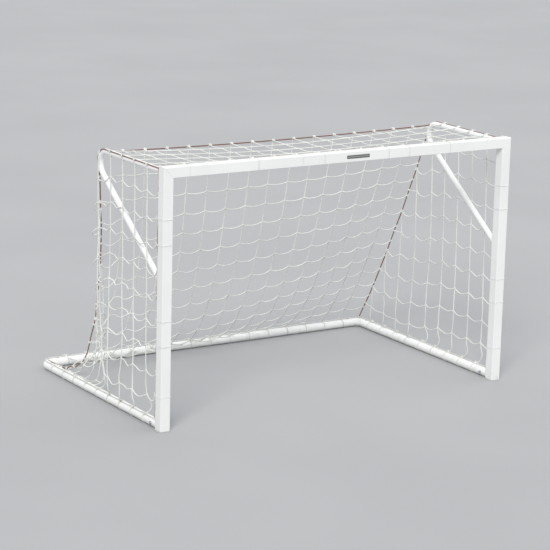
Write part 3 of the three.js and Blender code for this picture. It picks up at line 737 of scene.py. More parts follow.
LABEL = vinyl_label()


# ---------------------------------------------------------------- ground bars and elbows
def ground_bar(name, start, end, holes, replaced):
    start, end = np.array(start, float), np.array(end, float)
    count = max(2, int(np.linalg.norm(end - start) / 0.12))
    path = start + (end - start) * (np.arange(count + 1) / count)[:, None]
    bm = bmesh.new()
    swept_shell(bm, path, BAR_R, BAR_R - BAR_WALL, segments=72, edge=0.0004)
    bar = coated(bm, name, sharp=38)
    carve(bar, holes, BAR_HOLE_R)
    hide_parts(replaced)


def ground_bars():
    for side, sign in SIDES:
        x = sign * POST_X
        lo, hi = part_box(f"{side}_ground_bar")
        start, end = (x, lo.y, BAR_Z), (x, hi.y, BAR_Z)
        holes = [(x, ELBOW_Y - BUTTON)]
        ground_bar(f"{side}_side_bar", start, end, holes, f"{side}_ground_bar")
    start, end = (rear_lo.x, REAR_Y, BAR_Z), (rear_hi.x, REAR_Y, BAR_Z)
    holes = [(sign * (ELBOW_X - BUTTON), REAR_Y) for _, sign in SIDES]
    ground_bar("rear_bar", start, end, holes, "rear_ground_bar")


def elbow(side, sign):
    """A tight bend with a reduced spigot each way, inside the ends of the bars."""
    bend = []
    for i in range(25):
        angle = i / 24 * math.pi / 2
        x = sign * (ELBOW_X + ELBOW_R * math.cos(angle))
        bend.append((x, ELBOW_Y + ELBOW_R * math.sin(angle), BAR_Z))
    bm = bmesh.new()
    swept_shell(bm, bend, BAR_R, BAR_R - ELBOW_WALL, segments=72, edge=0.0006)
    outer = coated(bm, f"{side}_corner_elbow", sharp=38)
    # the spigots run through the bend as one inner tube
    path = [(sign * POST_X, ELBOW_Y - reach, BAR_Z) for reach in (SPIGOT_REACH, SPIGOT_REACH / 2)]
    path += bend[1:-1]
    for reach in (SPIGOT_REACH / 2, SPIGOT_REACH):
        path.append((sign * (ELBOW_X - reach), REAR_Y, BAR_Z))
    bm = bmesh.new()
    swept_shell(bm, path, SPIGOT_R, SPIGOT_BORE, segments=64, edge=0.0008)
    core = object_from(bm, f"{side}_elbow_spigots", ZINC, "zinc_hardware", sharp=38)
    holes = [(sign * POST_X, ELBOW_Y - BUTTON), (sign * (ELBOW_X - BUTTON), REAR_Y)]
    carve(core, holes, SPIGOT_HOLE_R)
    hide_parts(f"{side}_rear_elbow")


# ---------------------------------------------------------------- net supports
def support_plate(name, x, span):
    """A plate across Y with rounded corners and eased edges. span is its lowest and highest z."""
    edge = 0.0006
    bottom, top = span
    bm = bmesh.new()
    rings = []
    for y, inset in (
        (PLATE_FRONT, edge),
        (PLATE_FRONT + edge, 0),
        (PLATE_BACK - edge, 0),
        (PLATE_BACK - edge * 0.3, edge * 0.3),
        (PLATE_BACK, edge),
    ):
        outline = rounded_outline(
            x, (bottom + top) / 2, half_width=0.022 - inset,
            half_height=(top - bottom) / 2 - inset, radius=0.007 - inset, steps=8,
        )
        rings.append([bm.verts.new((px, y, pz)) for px, pz in outline])
    skin(bm, rings)
    bm.faces.new(rings[0])
    bm.faces.new(list(reversed(rings[-1])))
    coated(bm, name, sharp=30)


def weld_bead(name, centre, stretch=1.0):
    """A rippled fillet where a support tube meets a plate, stretched in Z for a sloping tube."""
    ripples, bead, sides = 46, 0.0026, 10
    count = ripples * 4
    bm = bmesh.new()
    rings = []
    for i in range(count):
        angle = 2 * math.pi * i / count
        swell = 0.13 * abs(math.sin(ripples * angle / 2)) + 0.06 * math.sin(3 * angle + 1.3)
        radius = bead * (1 + swell)
        cos, sin = math.cos(angle), math.sin(angle)
        out = Vector((cos, 0, sin / stretch)).normalized()
        base = Vector(centre) + Vector((STAY_R * cos, 0, STAY_R * stretch * sin))
        ring = []
        for k in range(sides):
            turn = 2 * math.pi * k / sides
            outward = out * (radius * 0.85 * math.cos(turn) + radius * 0.1)
            rearward = Vector((0, 1, 0)) * (radius * 0.85 * math.sin(turn))
            ring.append(bm.verts.new(base + outward + rearward))
        rings.append(ring)
    skin(bm, rings, around=True)
    coated(bm, name)


def stay_centreline(x):
    """From the top plate back, round the bend, and down the slope to the foot plate."""
    start_y = PLATE_BACK - 0.002  # the ends lie inside the plates
    points = [(x, start_y, CROSS_Z)]
    for i in range(1, STRAIGHT_STEPS):
        points.append((x, PLATE_BACK + (BEND_Y - PLATE_BACK) * i / STRAIGHT_STEPS, CROSS_Z))
    for i in range(BEND_STEPS + 1):
        angle = i / BEND_STEPS * (math.pi - FALL)
        y = BEND_Y + BEND_R * math.sin(angle)
        points.append((x, y, BEND_Z + BEND_R * math.cos(angle)))
    end = (x, start_y, STAY_FOOT - 0.002 * math.tan(FALL))
    last = points[-1]
    for i in range(1, 7):
        points.append(tuple(a + (b - a) * i / 6 for a, b in zip(last, end)))
    return points


def net_support(side, sign):
    x = sign * POST_X
    path = np.array(stay_centreline(x))
    _, normal, binormal = frames_along(path, up=(1, 0, 0))
    bm = bmesh.new()
    rings = [
        circle_at(bm, centre, STAY_R, normal[i], binormal[i], segments=48)
        for i, centre in enumerate(path)
    ]
    skin_and_cap(bm, rings)
    for vert in rings[0] + rings[-1]:
        vert.co.y = min(vert.co.y, PLATE_BACK - 0.001)
    tube = coated(bm, f"{side}_support_tube", sharp=38)
    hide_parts(f"{side}_net_support")
    support_plate(f"{side}_support_top_plate", x, TOP_PLATE)
    support_plate(f"{side}_support_foot_plate", x, FOOT_PLATE)
    proud = 0.0004
    weld_y = PLATE_BACK + proud
    weld_bead(f"{side}_support_top_weld", (x, weld_y, CROSS_Z))
    foot = (x, weld_y, STAY_FOOT + proud * math.tan(FALL))
    weld_bead(f"{side}_support_foot_weld", foot, stretch=1 / math.cos(FALL))


# ---------------------------------------------------------------- fasteners
def centre_of(name):
    return tuple((a + b) / 2 for a, b in zip(*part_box(name)))


def hex_bolt(name, replaced, face_y, turn):
    """A hex bolt on a washer, head towards +Y."""
    x, _, z = centre_of(replaced)
    bm = bmesh.new()
    place = Matrix.Translation((x, face_y, z)) @ Matrix.Rotation(-math.pi / 2, 4, "X")
    gap = 0.0003
    washer_top = gap + 0.0016
    washer = [
        (0.0041, gap), (0.0081, gap), (0.0085, gap + 0.0003),
        (0.0085, gap + 0.0013), (0.0081, washer_top), (0.0041, washer_top),
    ]
    lathe(bm, washer, 40, place)
    # the head's corners are turned off by a cone, top and bottom
    flat = 0.0065  # half across the flats
    top = gap + 0.0069
    levels = (  # hexagon's radius to (radius, height)
        lambda hexagon: (min(hexagon, flat * 1.02), washer_top),
        lambda hexagon: (hexagon, washer_top + (hexagon - flat) * 0.45 + 0.0001),
        lambda hexagon: (hexagon, top - (hexagon - flat) * 0.6 - 0.00015),
        lambda hexagon: (flat * 0.97, top),
        lambda hexagon: (flat * 0.62, top),
        lambda hexagon: (flat * 0.56, top - 0.0004),
    )
    turned = place @ Matrix.Rotation(turn, 4, "Z")
    rings = []
    for level in levels:
        ring = []
        for i in range(48):
            angle = 2 * math.pi * i / 48
            off_flat = ((angle + math.pi / 6) % (math.pi / 3)) - math.pi / 6
            radius, height = level(flat / math.cos(off_flat))
            local = Vector((radius * math.cos(angle), radius * math.sin(angle), height))
            ring.append(bm.verts.new(turned @ local))
        rings.append(ring)
    skin_and_cap(bm, rings)
    shank = [(0, -0.014), (0.0036, -0.014), (0.004, -0.0134), (0.004, gap), (0, gap)]
    lathe(bm, shank, 24, place)
    bolt = object_from(bm, name, ZINC, "zinc_hardware", sharp=28)
    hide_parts(replaced)


# how far each head is turned, in radians, left side first
BOLT_TURNS = iter([0.2, 1.0, 0.5, 0.75, 0.1, 0.9, 0.35, 0.62, 0.05, 0.42, 0.83, 0.28, 0.55, 0.7])


def bolts():
    parts = [("corner_bolt", BACK_Y)]
    for group in ("foot", "support_top", "support_foot"):
        parts += [(f"{group}_bolt_{where}", PLATE_BACK) for where in ("lower", "upper")]
    for side, _ in SIDES:
        for part, face_y in parts:
            name = f"{side}_{part.replace('bolt', 'screw')}"
            hex_bolt(name, f"{side}_{part}", face_y, next(BOLT_TURNS))


# hairpin's centre line: distance along the bar and height, in millimetres from the bar's axis
SPRING_LINE = [
    (5.6, 11.6), (4.2, 12.1), (-2, 12.0), (-8, 11.4), (-14, 9.9), (-18, 8.4), (-22, 5.6),
    (-24.5, 3), (-26.1, 0), (-26.5, -3), (-25.8, -6.2), (-24, -9), (-21.8, -11.4), (-19, -13),
    (-15.6, -14.2), (-12, -14.5), (0, -14.5), (12.4, -14.5), (13.6, -14.2),
]


def leaf_spring(side, where, along):
    """A strip bent to a hairpin under a snap button, drawn at rest."""
    part = f"{side}_{where}"
    x, y, _ = centre_of(f"{part}_snap_button")
    centre = (x, y, BAR_Z)
    step = 0.0009
    line = [(reach * 0.001, 0, height * 0.001) for reach, height in SPRING_LINE]
    line = resample(smooth_path(line, 6), step)
    tangent = np.gradient(line, axis=0)
    tangent /= np.linalg.norm(tangent, axis=1)[:, None]
    normal = np.stack([-tangent[:, 2], np.zeros(len(line)), tangent[:, 0]], 1)
    half, thick, ease = 0.0045, 0.0004, 0.00016
    section = [(half, thick - ease), (half - ease, thick)]
    section += [(-half + ease, thick), (-half, thick - ease)]
    section += [(-width, -height) for width, height in section]
    across = Vector((-along.y, along.x, 0))
    rounding = 0.0036  # the ends are rounded in plan over this length
    bm = bmesh.new()
    rings = []
    for i, (point, way) in enumerate(zip(line, normal)):
        from_end = min(i, len(line) - 1 - i) * step
        share = 1.0
        if from_end <= rounding:
            curve = math.sqrt(max(0.02, 1 - ((rounding - from_end) / 0.0037) ** 2))
            share = curve * 0.55 + 0.45
        ring = []
        for width, height in section:
            local = point + way * height
            place = Vector(centre) + along * local[0] + across * (width * share)
            ring.append(bm.verts.new(place + Vector((0, 0, local[2]))))
        rings.append(ring)
    skin_and_cap(bm, rings)
    # a first pass on the faces' directions, before the one in object_from
    bmesh.ops.recalc_face_normals(bm, faces=bm.faces)
    spring = object_from(bm, f"{part}_leaf_spring", SPRING, "spring_steel", sharp=30)
    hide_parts(f"{part}_snap_spring")
    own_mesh(spring)


def crossbar_label():
    bm = bmesh.new()
    rings = []
    for inset, proud in ((0.0, 0.00002), (0.0, 0.00022), (0.0003, 0.0003)):
        outline = rounded_outline(
            LABEL_X, CROSS_Z, half_width=LABEL_HALF[0] - inset,
            half_height=LABEL_HALF[1] - inset, radius=0.004, steps=6,
        )
        rings.append([bm.verts.new((x, FRONT_Y - proud, z)) for x, z in outline])
    bm.faces.new(rings[0])
    skin(bm, rings)
    bm.faces.new(list(reversed(rings[-1])))
    object_from(bm, "crossbar_label", LABEL, "powder_coat", sharp=30)


# ---------------------------------------------------------------- finishes of the CAD pieces
COATED_ENDINGS = (
    "_post", "crossbar", "_foot_bracket", "_ground_bar", "_rear_elbow", "_net_support",
)


def finish_for(name):
    if name.endswith(COATED_ENDINGS):
        return COAT
    for part, material in (
        ("corner_bracket", CAST), ("snap", SPRING), ("bolt", ZINC),
        ("nut", ZINC), ("foot_cap", PLASTIC), ("panel", TWINE),
    ):
        if part in name:
            return material
    return ROPE


def finish_cad_pieces():
    """Each piece gets its own finish, and the rigid ones smooth walls and eased edges."""
    for name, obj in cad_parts.items():
        obj.data.materials.clear()
        obj.data.materials.append(finish_for(name))
        shade(obj.data)
        if "panel" in name or "rope" in name:
            continue
        join = obj.modifiers.new("join", "WELD")
        join.merge_threshold = 0.00001
        ease = obj.modifiers.new("ease", "BEVEL")
        ease.width = 0.0004 if name.endswith(("_post", "crossbar")) else 0.00035
        ease.segments = 2
        ease.limit_method = "ANGLE"
        ease.angle_limit = math.radians(40)
        ease.use_clamp_overlap = True
        ease.harden_normals = False
        shading = obj.modifiers.new("shade", "WEIGHTED_NORMAL")
        shading.keep_sharp = False
        shading.weight = 60


ground_bars()
for side, sign in SIDES:
    elbow(side, sign)
for side, sign in SIDES:
    net_support(side, sign)
bolts()
for side, sign in SIDES:
    leaf_spring(side, "side", Vector((0, 1, 0)))
    leaf_spring(side, "rear", Vector((-sign, 0, 0)))
crossbar_label()
finish_cad_pieces()


# ---------------------------------------------------------------- where the border ropes lie
def lerp(start, end, t):
    return np.array(start) * (1 - t) + np.array(end) * t


def bow(depth, t):
    """A parabola, 0 at both ends and depth in the middle."""
    return depth * 4 * t * (1 - t)


def over_tube(sign, tilt, angle):
    """A rope's centre on a support's bend, tilt out from its crest, angle round the bend."""
    radius = BEND_R + ROPE_LIE * math.cos(tilt)
    x = sign * (POST_X + ROPE_LIE * math.sin(tilt))
    y = BEND_Y + radius * math.sin(angle)
    return np.array((x, y, BEND_Z + radius * math.cos(angle)))


def support_rope(sign, t):
    """The rope along a net support, t from 0 at the crossbar to 1 at the rear rope."""
    straight = BEND_Y - POST_ROPE_Y
    start_tilt, end_tilt = math.radians(45), math.radians(27)
    total = straight + (BEND_R + 0.7 * ROPE_LIE) * REAR_ROPE_ANGLE
    reach = t * total
    if reach < straight:
        x = sign * (POST_X + ROPE_LIE * math.sin(start_tilt))
        return np.array((x, POST_ROPE_Y + reach, CROSS_Z + ROPE_LIE * math.cos(start_tilt)))
    share = (reach - straight) / (total - straight)
    tilt = start_tilt + (end_tilt - start_tilt) * share
    return over_tube(sign, tilt, share * REAR_ROPE_ANGLE)


def elbow_rope(sign, angle):
    """The ground rope on an elbow, angle from the side bar towards the rear bar."""
    x = sign * (ELBOW_X + GROUND_R * math.cos(angle))
    return np.array((x, ELBOW_Y + GROUND_R * math.sin(angle), GROUND_ROPE_Z))


def ground_corner(sign):
    return elbow_rope(sign, math.radians(45))


def ground_rope_side(sign, t):
    """The rope on a side bar, t from 0 at the post to 1 at the corner."""
    straight = ELBOW_Y - POST_ROPE_Y
    reach = t * (straight + GROUND_ARC)
    if reach < straight:
        return np.array((sign * (POST_X + GROUND_OFF), POST_ROPE_Y + reach, GROUND_ROPE_Z))
    return elbow_rope(sign, (reach - straight) / GROUND_R)


def ground_rope_rear(t):
    """The rope on the rear bar, t from 0 at the left corner to 1 at the right one."""
    total = 2 * (GROUND_ARC + ELBOW_X)
    reach = t * total
    sign = -1 if reach < total / 2 else 1
    reach = reach if sign < 0 else total - reach
    if reach < GROUND_ARC:
        return elbow_rope(sign, math.pi / 4 + reach / GROUND_R)
    x = sign * (ELBOW_X - (reach - GROUND_ARC))
    return np.array((x, ELBOW_Y + GROUND_R, GROUND_ROPE_Z))


def post_line(sign, z):
    """The rope behind a post, just inside its outer edge. It strays to the edge here and there."""
    stray = math.exp(-(((z - 0.875) / 0.075) ** 2)) + 0.45 * math.exp(-(((z - 0.33) / 0.05) ** 2))
    x = POST_EDGE - 0.0046 * (1 - min(1.0, stray)) + 0.0008 * math.sin(z * 23 + sign)
    # it lies on the post's rear face, and steps out over each bolted plate
    near = 0.0
    for bottom, top in ((-0.1, 0.098), FOOT_PLATE, (TOP_PLATE[0], 1.3)):
        away = max(bottom - z, z - top, 0.0)
        t = min(1.0, max(0.0, 1 - (away - 0.004) / 0.045))
        near = max(near, t * t * (3 - 2 * t))
    y = POST_ROPE_Y - (1 - near) * (PLATE_BACK - BACK_Y)
    return (sign * min(x, POST_EDGE), y, z)


def post_row(sign, row):
    """Where a row of the side sheet meets the post's rope."""
    top = CORNER[sign][2]
    return post_line(sign, top + (GROUND_ROPE_Z - top) * row / SIDE_ROWS)


# ---------------------------------------------------------------- the net as a web of cords
class Web:
    """Points joined by cords that can't stretch but can go slack.

    pull holds (point, point, longest), open holds (point, point, shortest, spans it covers).
    cords holds (kind, points), where kind is "rope" or the name of a sheet.
    """

    def __init__(self):
        self.points, self.pinned, self.cords, self.pull, self.open = [], [], [], [], []
        self.rest = {}

    def point(self, place, pinned=False):
        self.points.append([float(value) for value in place])
        self.pinned.append(pinned)
        return len(self.points) - 1

    def span(self, a, b, length):
        self.pull.append((a, b, length))
        self.rest[a, b] = self.rest[b, a] = length

    def border(self, path):
        self.cords.append(("rope", path))

    def cord(self, knots, lengths, subs, kind):
        """A cord through knots, each span of its own length and split in its own subs."""
        path = [knots[0]]
        for a, b, length, count in zip(knots, knots[1:], lengths, subs):
            start, end = np.array(self.points[a]), np.array(self.points[b])
            between = [self.point(start + (end - start) * i / count) for i in range(1, count)]
            chain = [a] + between + [b]
            for one, two in zip(chain, chain[1:]):
                self.span(one, two, length / count)
            path += chain[1:]
        self.cords.append((kind, path))
        self.stiffen(path, 0.95, wide=0.68)

    def stiffen(self, path, share, wide=0.0):
        """Keeps every second point apart, and every fourth if wide, so that it bends in curves."""
        for a, b, c in zip(path, path[1:], path[2:]):
            shortest = share * (self.rest[a, b] + self.rest[b, c])
            self.open.append((a, c, shortest, ((a, b), (b, c))))
        if wide:
            for n in range(len(path) - 4):
                run = path[n : n + 5]
                spans = tuple(zip(run, run[1:]))
                shortest = wide * sum(self.rest[pair] for pair in spans)
                self.open.append((run[0], run[4], shortest, spans))

    def crossings(self):
        """For each point, the (cord, place in it) of every cord that runs through it."""
        found = {}
        for n, (_, path) in enumerate(self.cords):
            for at, point in enumerate(path):
                found.setdefault(point, []).append((n, at))
        return found

    def square_knots(self):
        """Makes knots hold their four cords roughly square."""
        for point, where in self.crossings().items():
            if len(where) != 2:
                continue
            one, two = (
                [self.cords[n][1][at + d] for d in (-1, 1) if 0 <= at + d < len(self.cords[n][1])]
                for n, at in where
            )
            for a in one:
                for b in two:
                    if a != b and (point, a) in self.rest and (point, b) in self.rest:
                        across = math.hypot(self.rest[point, a], self.rest[point, b])
                        self.open.append((a, b, 0.72 * across, ((point, a), (point, b))))

    def take_up(self, points, least):
        """Shortens spans whose ends have come closer than least of their length."""
        scale, shared = {}, {}
        for _, path in self.cords:
            for point in set(path):
                shared[point] = shared.get(point, 0) + 1
        for kind, path in self.cords:
            if kind == "rope":
                continue
            last = len(path) - 1
            ends = [n for n, point in enumerate(path) if shared[point] > 1 or n in (0, last)]
            for i, j in zip(ends, ends[1:]):
                spans = list(zip(path[i:j], path[i + 1 : j + 1]))
                whole = sum(self.rest[pair] for pair in spans)
                chord = float(np.linalg.norm(points[path[i]] - points[path[j]]))
                share = max(0.3, min(1.0, chord / (least * whole)))
                for a, b in spans:
                    scale[a, b] = scale[b, a] = share
        self.pull = [(a, b, length * scale.get((a, b), 1.0)) for a, b, length in self.pull]
        self.open = [
            (a, b, length * min(scale.get(pair, 1.0) for pair in spans), spans)
            for a, b, length, spans in self.open
        ]


def independent_groups(pairs):
    """Groups of pairs that share no point, so that each group is solved at once."""
    used, groups = {}, []
    for n, (a, b) in enumerate(pairs):
        used_a, used_b = used.setdefault(a, set()), used.setdefault(b, set())
        group = 0
        while group in used_a or group in used_b:
            group += 1
        used_a.add(group)
        used_b.add(group)
        while len(groups) <= group:
            groups.append([])
        groups[group].append(n)
    return [np.array(group) for group in groups]


def relax(web, capsules, seconds, weaken, start=None, weight=1.0):
    """Lets the web fall over the capsules and settle. weaken is how fast gravity fades."""
    step, drag, floor = 0.001, 1.5, 0.012
    points = np.array(web.points if start is None else start)
    loose = 1.0 - np.array(web.pinned, float)
    free = loose > 0
    if start is None:
        points[free] += np.random.default_rng(3).normal(0, 0.0015, (free.sum(), 3))
    batches = []
    for stretching, items in ((True, web.pull), (False, web.open)):
        ends = np.array([item[:2] for item in items])
        rest = np.array([item[2] for item in items])
        for group in independent_groups([tuple(pair) for pair in ends]):
            a, b, length = ends[group, 0], ends[group, 1], rest[group]
            loose_a, loose_b = loose[a], loose[b]
            keep = (loose_a + loose_b) > 0
            a, b, length, loose_a, loose_b = (
                values[keep] for values in (a, b, length, loose_a, loose_b)
            )
            both = loose_a + loose_b
            batches.append((stretching, a, b, length, loose_a / both, loose_b / both))
    speed = np.zeros_like(points)
    steps = int(round(seconds / step))
    for n in range(steps):
        # a web that can't stretch hangs the same way under any weight, and a small one
        # pulls the solved spans less out of length
        late = max(0.0, n / steps - 0.15) / 0.85
        gravity = 9.81 * weight * math.exp(-weaken * max(0.0, n / steps - 0.15) / 0.85)
        speed[:, 2] -= gravity * step * loose
        speed *= 1 - drag * step
        moved = points + speed * step
        for stretching, a, b, length, share_a, share_b in batches:
            gap = moved[b] - moved[a]
            now = np.sqrt((gap * gap).sum(1)) + 1e-12
            over = (now - length) / now
            over = np.maximum(over, 0) if stretching else np.minimum(over, 0) * 0.5
            gap *= over[:, None]
            moved[a] += gap * share_a[:, None]
            moved[b] -= gap * share_b[:, None]
        if n % 2 == 0 or n > steps - 40:
            push_out(moved, free, capsules)
        low = free & (moved[:, 2] < floor)
        moved[low, 2] = floor
        speed = (moved - points) / step
        speed[low, :2] *= 0.7
        points = moved
    return points


def push_out(points, free, capsules):
    """Moves free points out of each capsule (start, end, radius) to its surface."""
    for start, end, radius in capsules:
        lowest = np.minimum(start, end) - radius
        highest = np.maximum(start, end) + radius
        near = np.where(free & ((points > lowest) & (points < highest)).all(1))[0]
        if not len(near):
            continue
        axis = end - start
        t = np.clip(((points[near] - start) @ axis) / (axis @ axis), 0, 1)
        out = points[near] - (start + t[:, None] * axis)
        length = np.sqrt((out * out).sum(1)) + 1e-12
        hit = length < radius
        points[near[hit]] += out[hit] * ((radius - length[hit]) / length[hit])[:, None]


def main_knots(web):
    """Knots (column, row): row 0 on the crossbar, TOP on the rear rope, the last on the ground."""
    knot = {}
    last = TOP + BACK
    for i in range(COLS + 1):
        f = i / COLS
        front = np.array((-BORDER_X + 2 * BORDER_X * f, CROSS_ROPE_Y, CROSS_ROPE_Z))
        back = ground_rope_rear(f)
        rear = lerp(support_rope(-1, 1.0), support_rope(1, 1.0), f)
        rear = rear - np.array((0, 0, bow(REAR_SAG, f)))
        for j in range(last + 1):
            if j <= TOP and i in (0, COLS):
                sign = -1 if i == 0 else 1
                place = CORNER[sign] if j == 0 else support_rope(sign, j / TOP)
                knot[i, j] = web.point(place, True)
            elif j <= TOP:
                place = lerp(front, rear, j / TOP)
                place[2] -= bow(0.02, j / TOP)
                knot[i, j] = web.point(place, j in (0, TOP))
            else:
                t = sum(ROW_SHARE[: j - TOP]) / sum(ROW_SHARE)
                place = lerp(rear, back, t)
                place[1] -= bow(0.05, t)
                knot[i, j] = web.point(place, j == last)
    return knot


def seams(web, knot):
    """Chains that the back's rows and the side's rows both meet, and where the side's rows do."""
    fall = np.cumsum([0.0] + ROW_SHARE)
    fall /= fall[-1]
    side_fall = {round(row / SIDE_ROWS, 4) for row in range(SIDE_ROWS + 1)}
    marks = sorted({round(v, 4) for v in fall} | side_fall)
    steps = [marks[0]]
    for mark in marks[1:]:
        parts = max(1, int(math.ceil((mark - steps[-1]) / 0.026)))
        start = steps[-1]
        steps += [start + (mark - start) * (n + 1) / parts for n in range(parts)]
    steps = [round(t, 6) for t in steps]
    seam, meets = {}, {}
    for sign, column in ((-1, 0), (1, COLS)):
        ids = []
        for t in steps:
            rows = [n for n, v in enumerate(fall) if abs(v - t) < 2e-4]
            if rows:
                ids.append(knot[column, TOP + rows[0]])
            else:
                place = lerp(support_rope(sign, 1.0), ground_corner(sign), t)
                place[1] -= bow(0.05, t)
                ids.append(web.point(place))
        for a, b, start, end in zip(ids, ids[1:], steps, steps[1:]):
            web.span(a, b, SEAM[sign] * (end - start))
        web.border(ids)
        web.stiffen(ids, 0.97)
        seam[sign] = ids
        meets[sign] = [
            ids[int(np.argmin([abs(t - row / SIDE_ROWS) for t in steps]))]
            for row in range(SIDE_ROWS + 1)
        ]
    return seam, meets


def main_cords(web, knot):
    """The top and back sheets' cords, first across, then front to back and down."""
    last = TOP + BACK
    for j in range(last + 1):
        ids = [knot[i, j] for i in range(COLS + 1)]
        if j in (0, TOP, last):
            web.border(ids)
            continue
        kind, width = ("top", TOP_ROW) if j < TOP else ("back", BACK_ROW)
        web.cord(ids, [width / COLS] * COLS, [SUBS] * COLS, kind)
    share = np.array(ROW_SHARE) / sum(ROW_SHARE)
    for i in range(1, COLS):
        ids = [knot[i, j] for j in range(TOP + 1)]
        web.cord(ids, [TOP_COLUMN / TOP] * TOP, [SUBS] * TOP, "top")
        ids = [knot[i, j] for j in range(TOP, last + 1)]
        f = i / COLS
        ease = f * f * (3 - 2 * f)
        length = BACK_COLUMN[-1] * (1 - ease) + BACK_COLUMN[1] * ease
        web.cord(ids, list(length * share), [SUBS] * BACK, "back")


def side_sheet(web, kind, sign, knot, meets):
    """A side: TOP squares along its upper edge, and half a square more with each row down."""
    corner_column = 0 if sign < 0 else COLS
    foot = TOP + SIDE_ROWS // 2
    mesh = {}
    for row in range(SIDE_ROWS + 1):
        last = TOP + row / 2
        post = np.array(post_row(sign, row))
        end = np.array(web.points[meets[row]])
        for k in range(int(math.floor(last)) + 1):
            if k == last:
                mesh[k, row] = meets[row]
            elif row == 0:
                mesh[k, row] = knot[corner_column, k]
            elif row == SIDE_ROWS:
                mesh[k, row] = web.point(ground_rope_side(sign, k / foot), True)
            else:
                place = lerp(post, end, k / last)
                place[0] += sign * 0.004 * math.sin(math.pi * (k / last))
                mesh[k, row] = web.point(place, k == 0)
    for row in range(1, SIDE_ROWS):
        ids = [mesh[k, row] for k in range(TOP + row // 2 + 1)]
        lengths = [SIDE_CELL[sign]] * (len(ids) - 1)
        subs = [SUBS] * len(lengths)
        if row % 2:  # an odd row ends in half a square
            ids.append(meets[row])
            lengths.append(SIDE_CELL[sign] / 2)
            subs.append(SUBS // 2)
        web.cord(ids, lengths, subs, kind)
    web.border([mesh[k, SIDE_ROWS] for k in range(foot + 1)])
    web.border([mesh[0, row] for row in range(SIDE_ROWS + 1)])
    web.border([mesh[k, 0] for k in range(TOP + 1)])
    for k in range(1, foot):
        first = 0 if k <= TOP else 2 * (k - TOP)
        ids = [mesh[k, row] for row in range(first, SIDE_ROWS + 1)]
        count = len(ids) - 1
        web.cord(ids, [SIDE_DROP[sign]] * count, [SUBS] * count, kind)


def frame_capsules():
    """The tubes that the net must stay clear of."""
    capsules = []

    def keep_off(points, radius):
        for a, b in zip(points, points[1:]):
            capsules.append((np.array(a, float), np.array(b, float), radius))

    clear_bar = BAR_R + TWINE_R + 0.0006
    for _, sign in SIDES:
        x = sign * POST_X
        line = stay_centreline(x)
        bend = line[STRAIGHT_STEPS : STRAIGHT_STEPS + BEND_STEPS + 1 : 4]
        keep_off([line[0]] + bend + [line[-1]], STAY_R + TWINE_R + 0.0022)
        keep_off([(x, PLATE_BACK, BAR_Z), (x, ELBOW_Y, BAR_Z)], clear_bar)
    keep_off([(-ELBOW_X, REAR_Y, BAR_Z), (ELBOW_X, REAR_Y, BAR_Z)], clear_bar)
    return capsules


def settle_net():
    """The web, its settled points and its seams."""
    web = Web()
    knot = main_knots(web)
    seam, meets = seams(web, knot)
    main_cords(web, knot)
    for side, sign in SIDES:
        side_sheet(web, side, sign, knot, meets[sign])
    web.square_knots()
    capsules = frame_capsules()
    points = relax(web, capsules, seconds=6.0, weaken=5.0)
    web.take_up(points, least=0.86)
    seconds = 2.5
    points = relax(web, capsules, seconds, weaken=4.0, start=points, weight=0.12)
    return web, points, seam


# ---------------------------------------------------------------- the net, drawn
def torus_knot(ring, wave, tube):
    """A small closed knot as (verts, quads, uvs): twice round, with three waves."""
    f = np.linspace(0, 2 * math.pi, 36, endpoint=False)
    radius = ring + wave * np.cos(3 * f)
    path = [radius * np.cos(2 * f), radius * np.sin(2 * f), wave * 1.15 * np.sin(3 * f)]
    bag = Bag()
    bag.tube(np.stack(path, 1), tube, closed=True)
    return bag.verts[0], bag.quads[0], bag.uvs[0]


def put_knot(bag, knot, axes, place):
    verts, quads, uvs = knot
    bag.put(verts @ np.array(axes) + place, quads, uvs)


def helix(bag, centre, axis, out, coil, turns, count, length, tube, taper):
    """Cord of radius tube wound round an axis, starting on the side out, over length."""
    across = np.cross(axis, out)
    f = np.linspace(0, 2 * math.pi * turns, count)
    rise = (f / f[-1] - 0.5) * length
    path = centre + coil * (np.cos(f)[:, None] * out + np.sin(f)[:, None] * across)
    bag.tube(path + rise[:, None] * axis, tube, taper=taper)


def hitch(bag, centre, axis, out):
    """A net cord taken twice round a border rope."""
    tube = TWINE_R * 0.92
    axis = axis / np.linalg.norm(axis)
    out = out - (out @ axis) * axis
    out /= np.linalg.norm(out) + 1e-12
    helix(
        bag, centre, axis, out, coil=ROPE_R + tube * 0.8, turns=2.0, count=29,
        length=2.0 * tube * 2.05, tube=tube, taper=tube * 0.5,
    )


def whipping(bag, centre, axis, length, radius):
    """A close-wound binding round ropes that meet."""
    tube = 0.0011
    axis = np.array(axis, float)
    axis /= np.linalg.norm(axis)
    out = np.cross(axis, (0.31, 0.2, 0.93))
    out /= np.linalg.norm(out)
    turns = length / (tube * 2.02)
    helix(
        bag, centre, axis, out, coil=radius + tube * 0.7, turns=turns, count=int(turns * 18),
        length=length, tube=tube, taper=tube,
    )


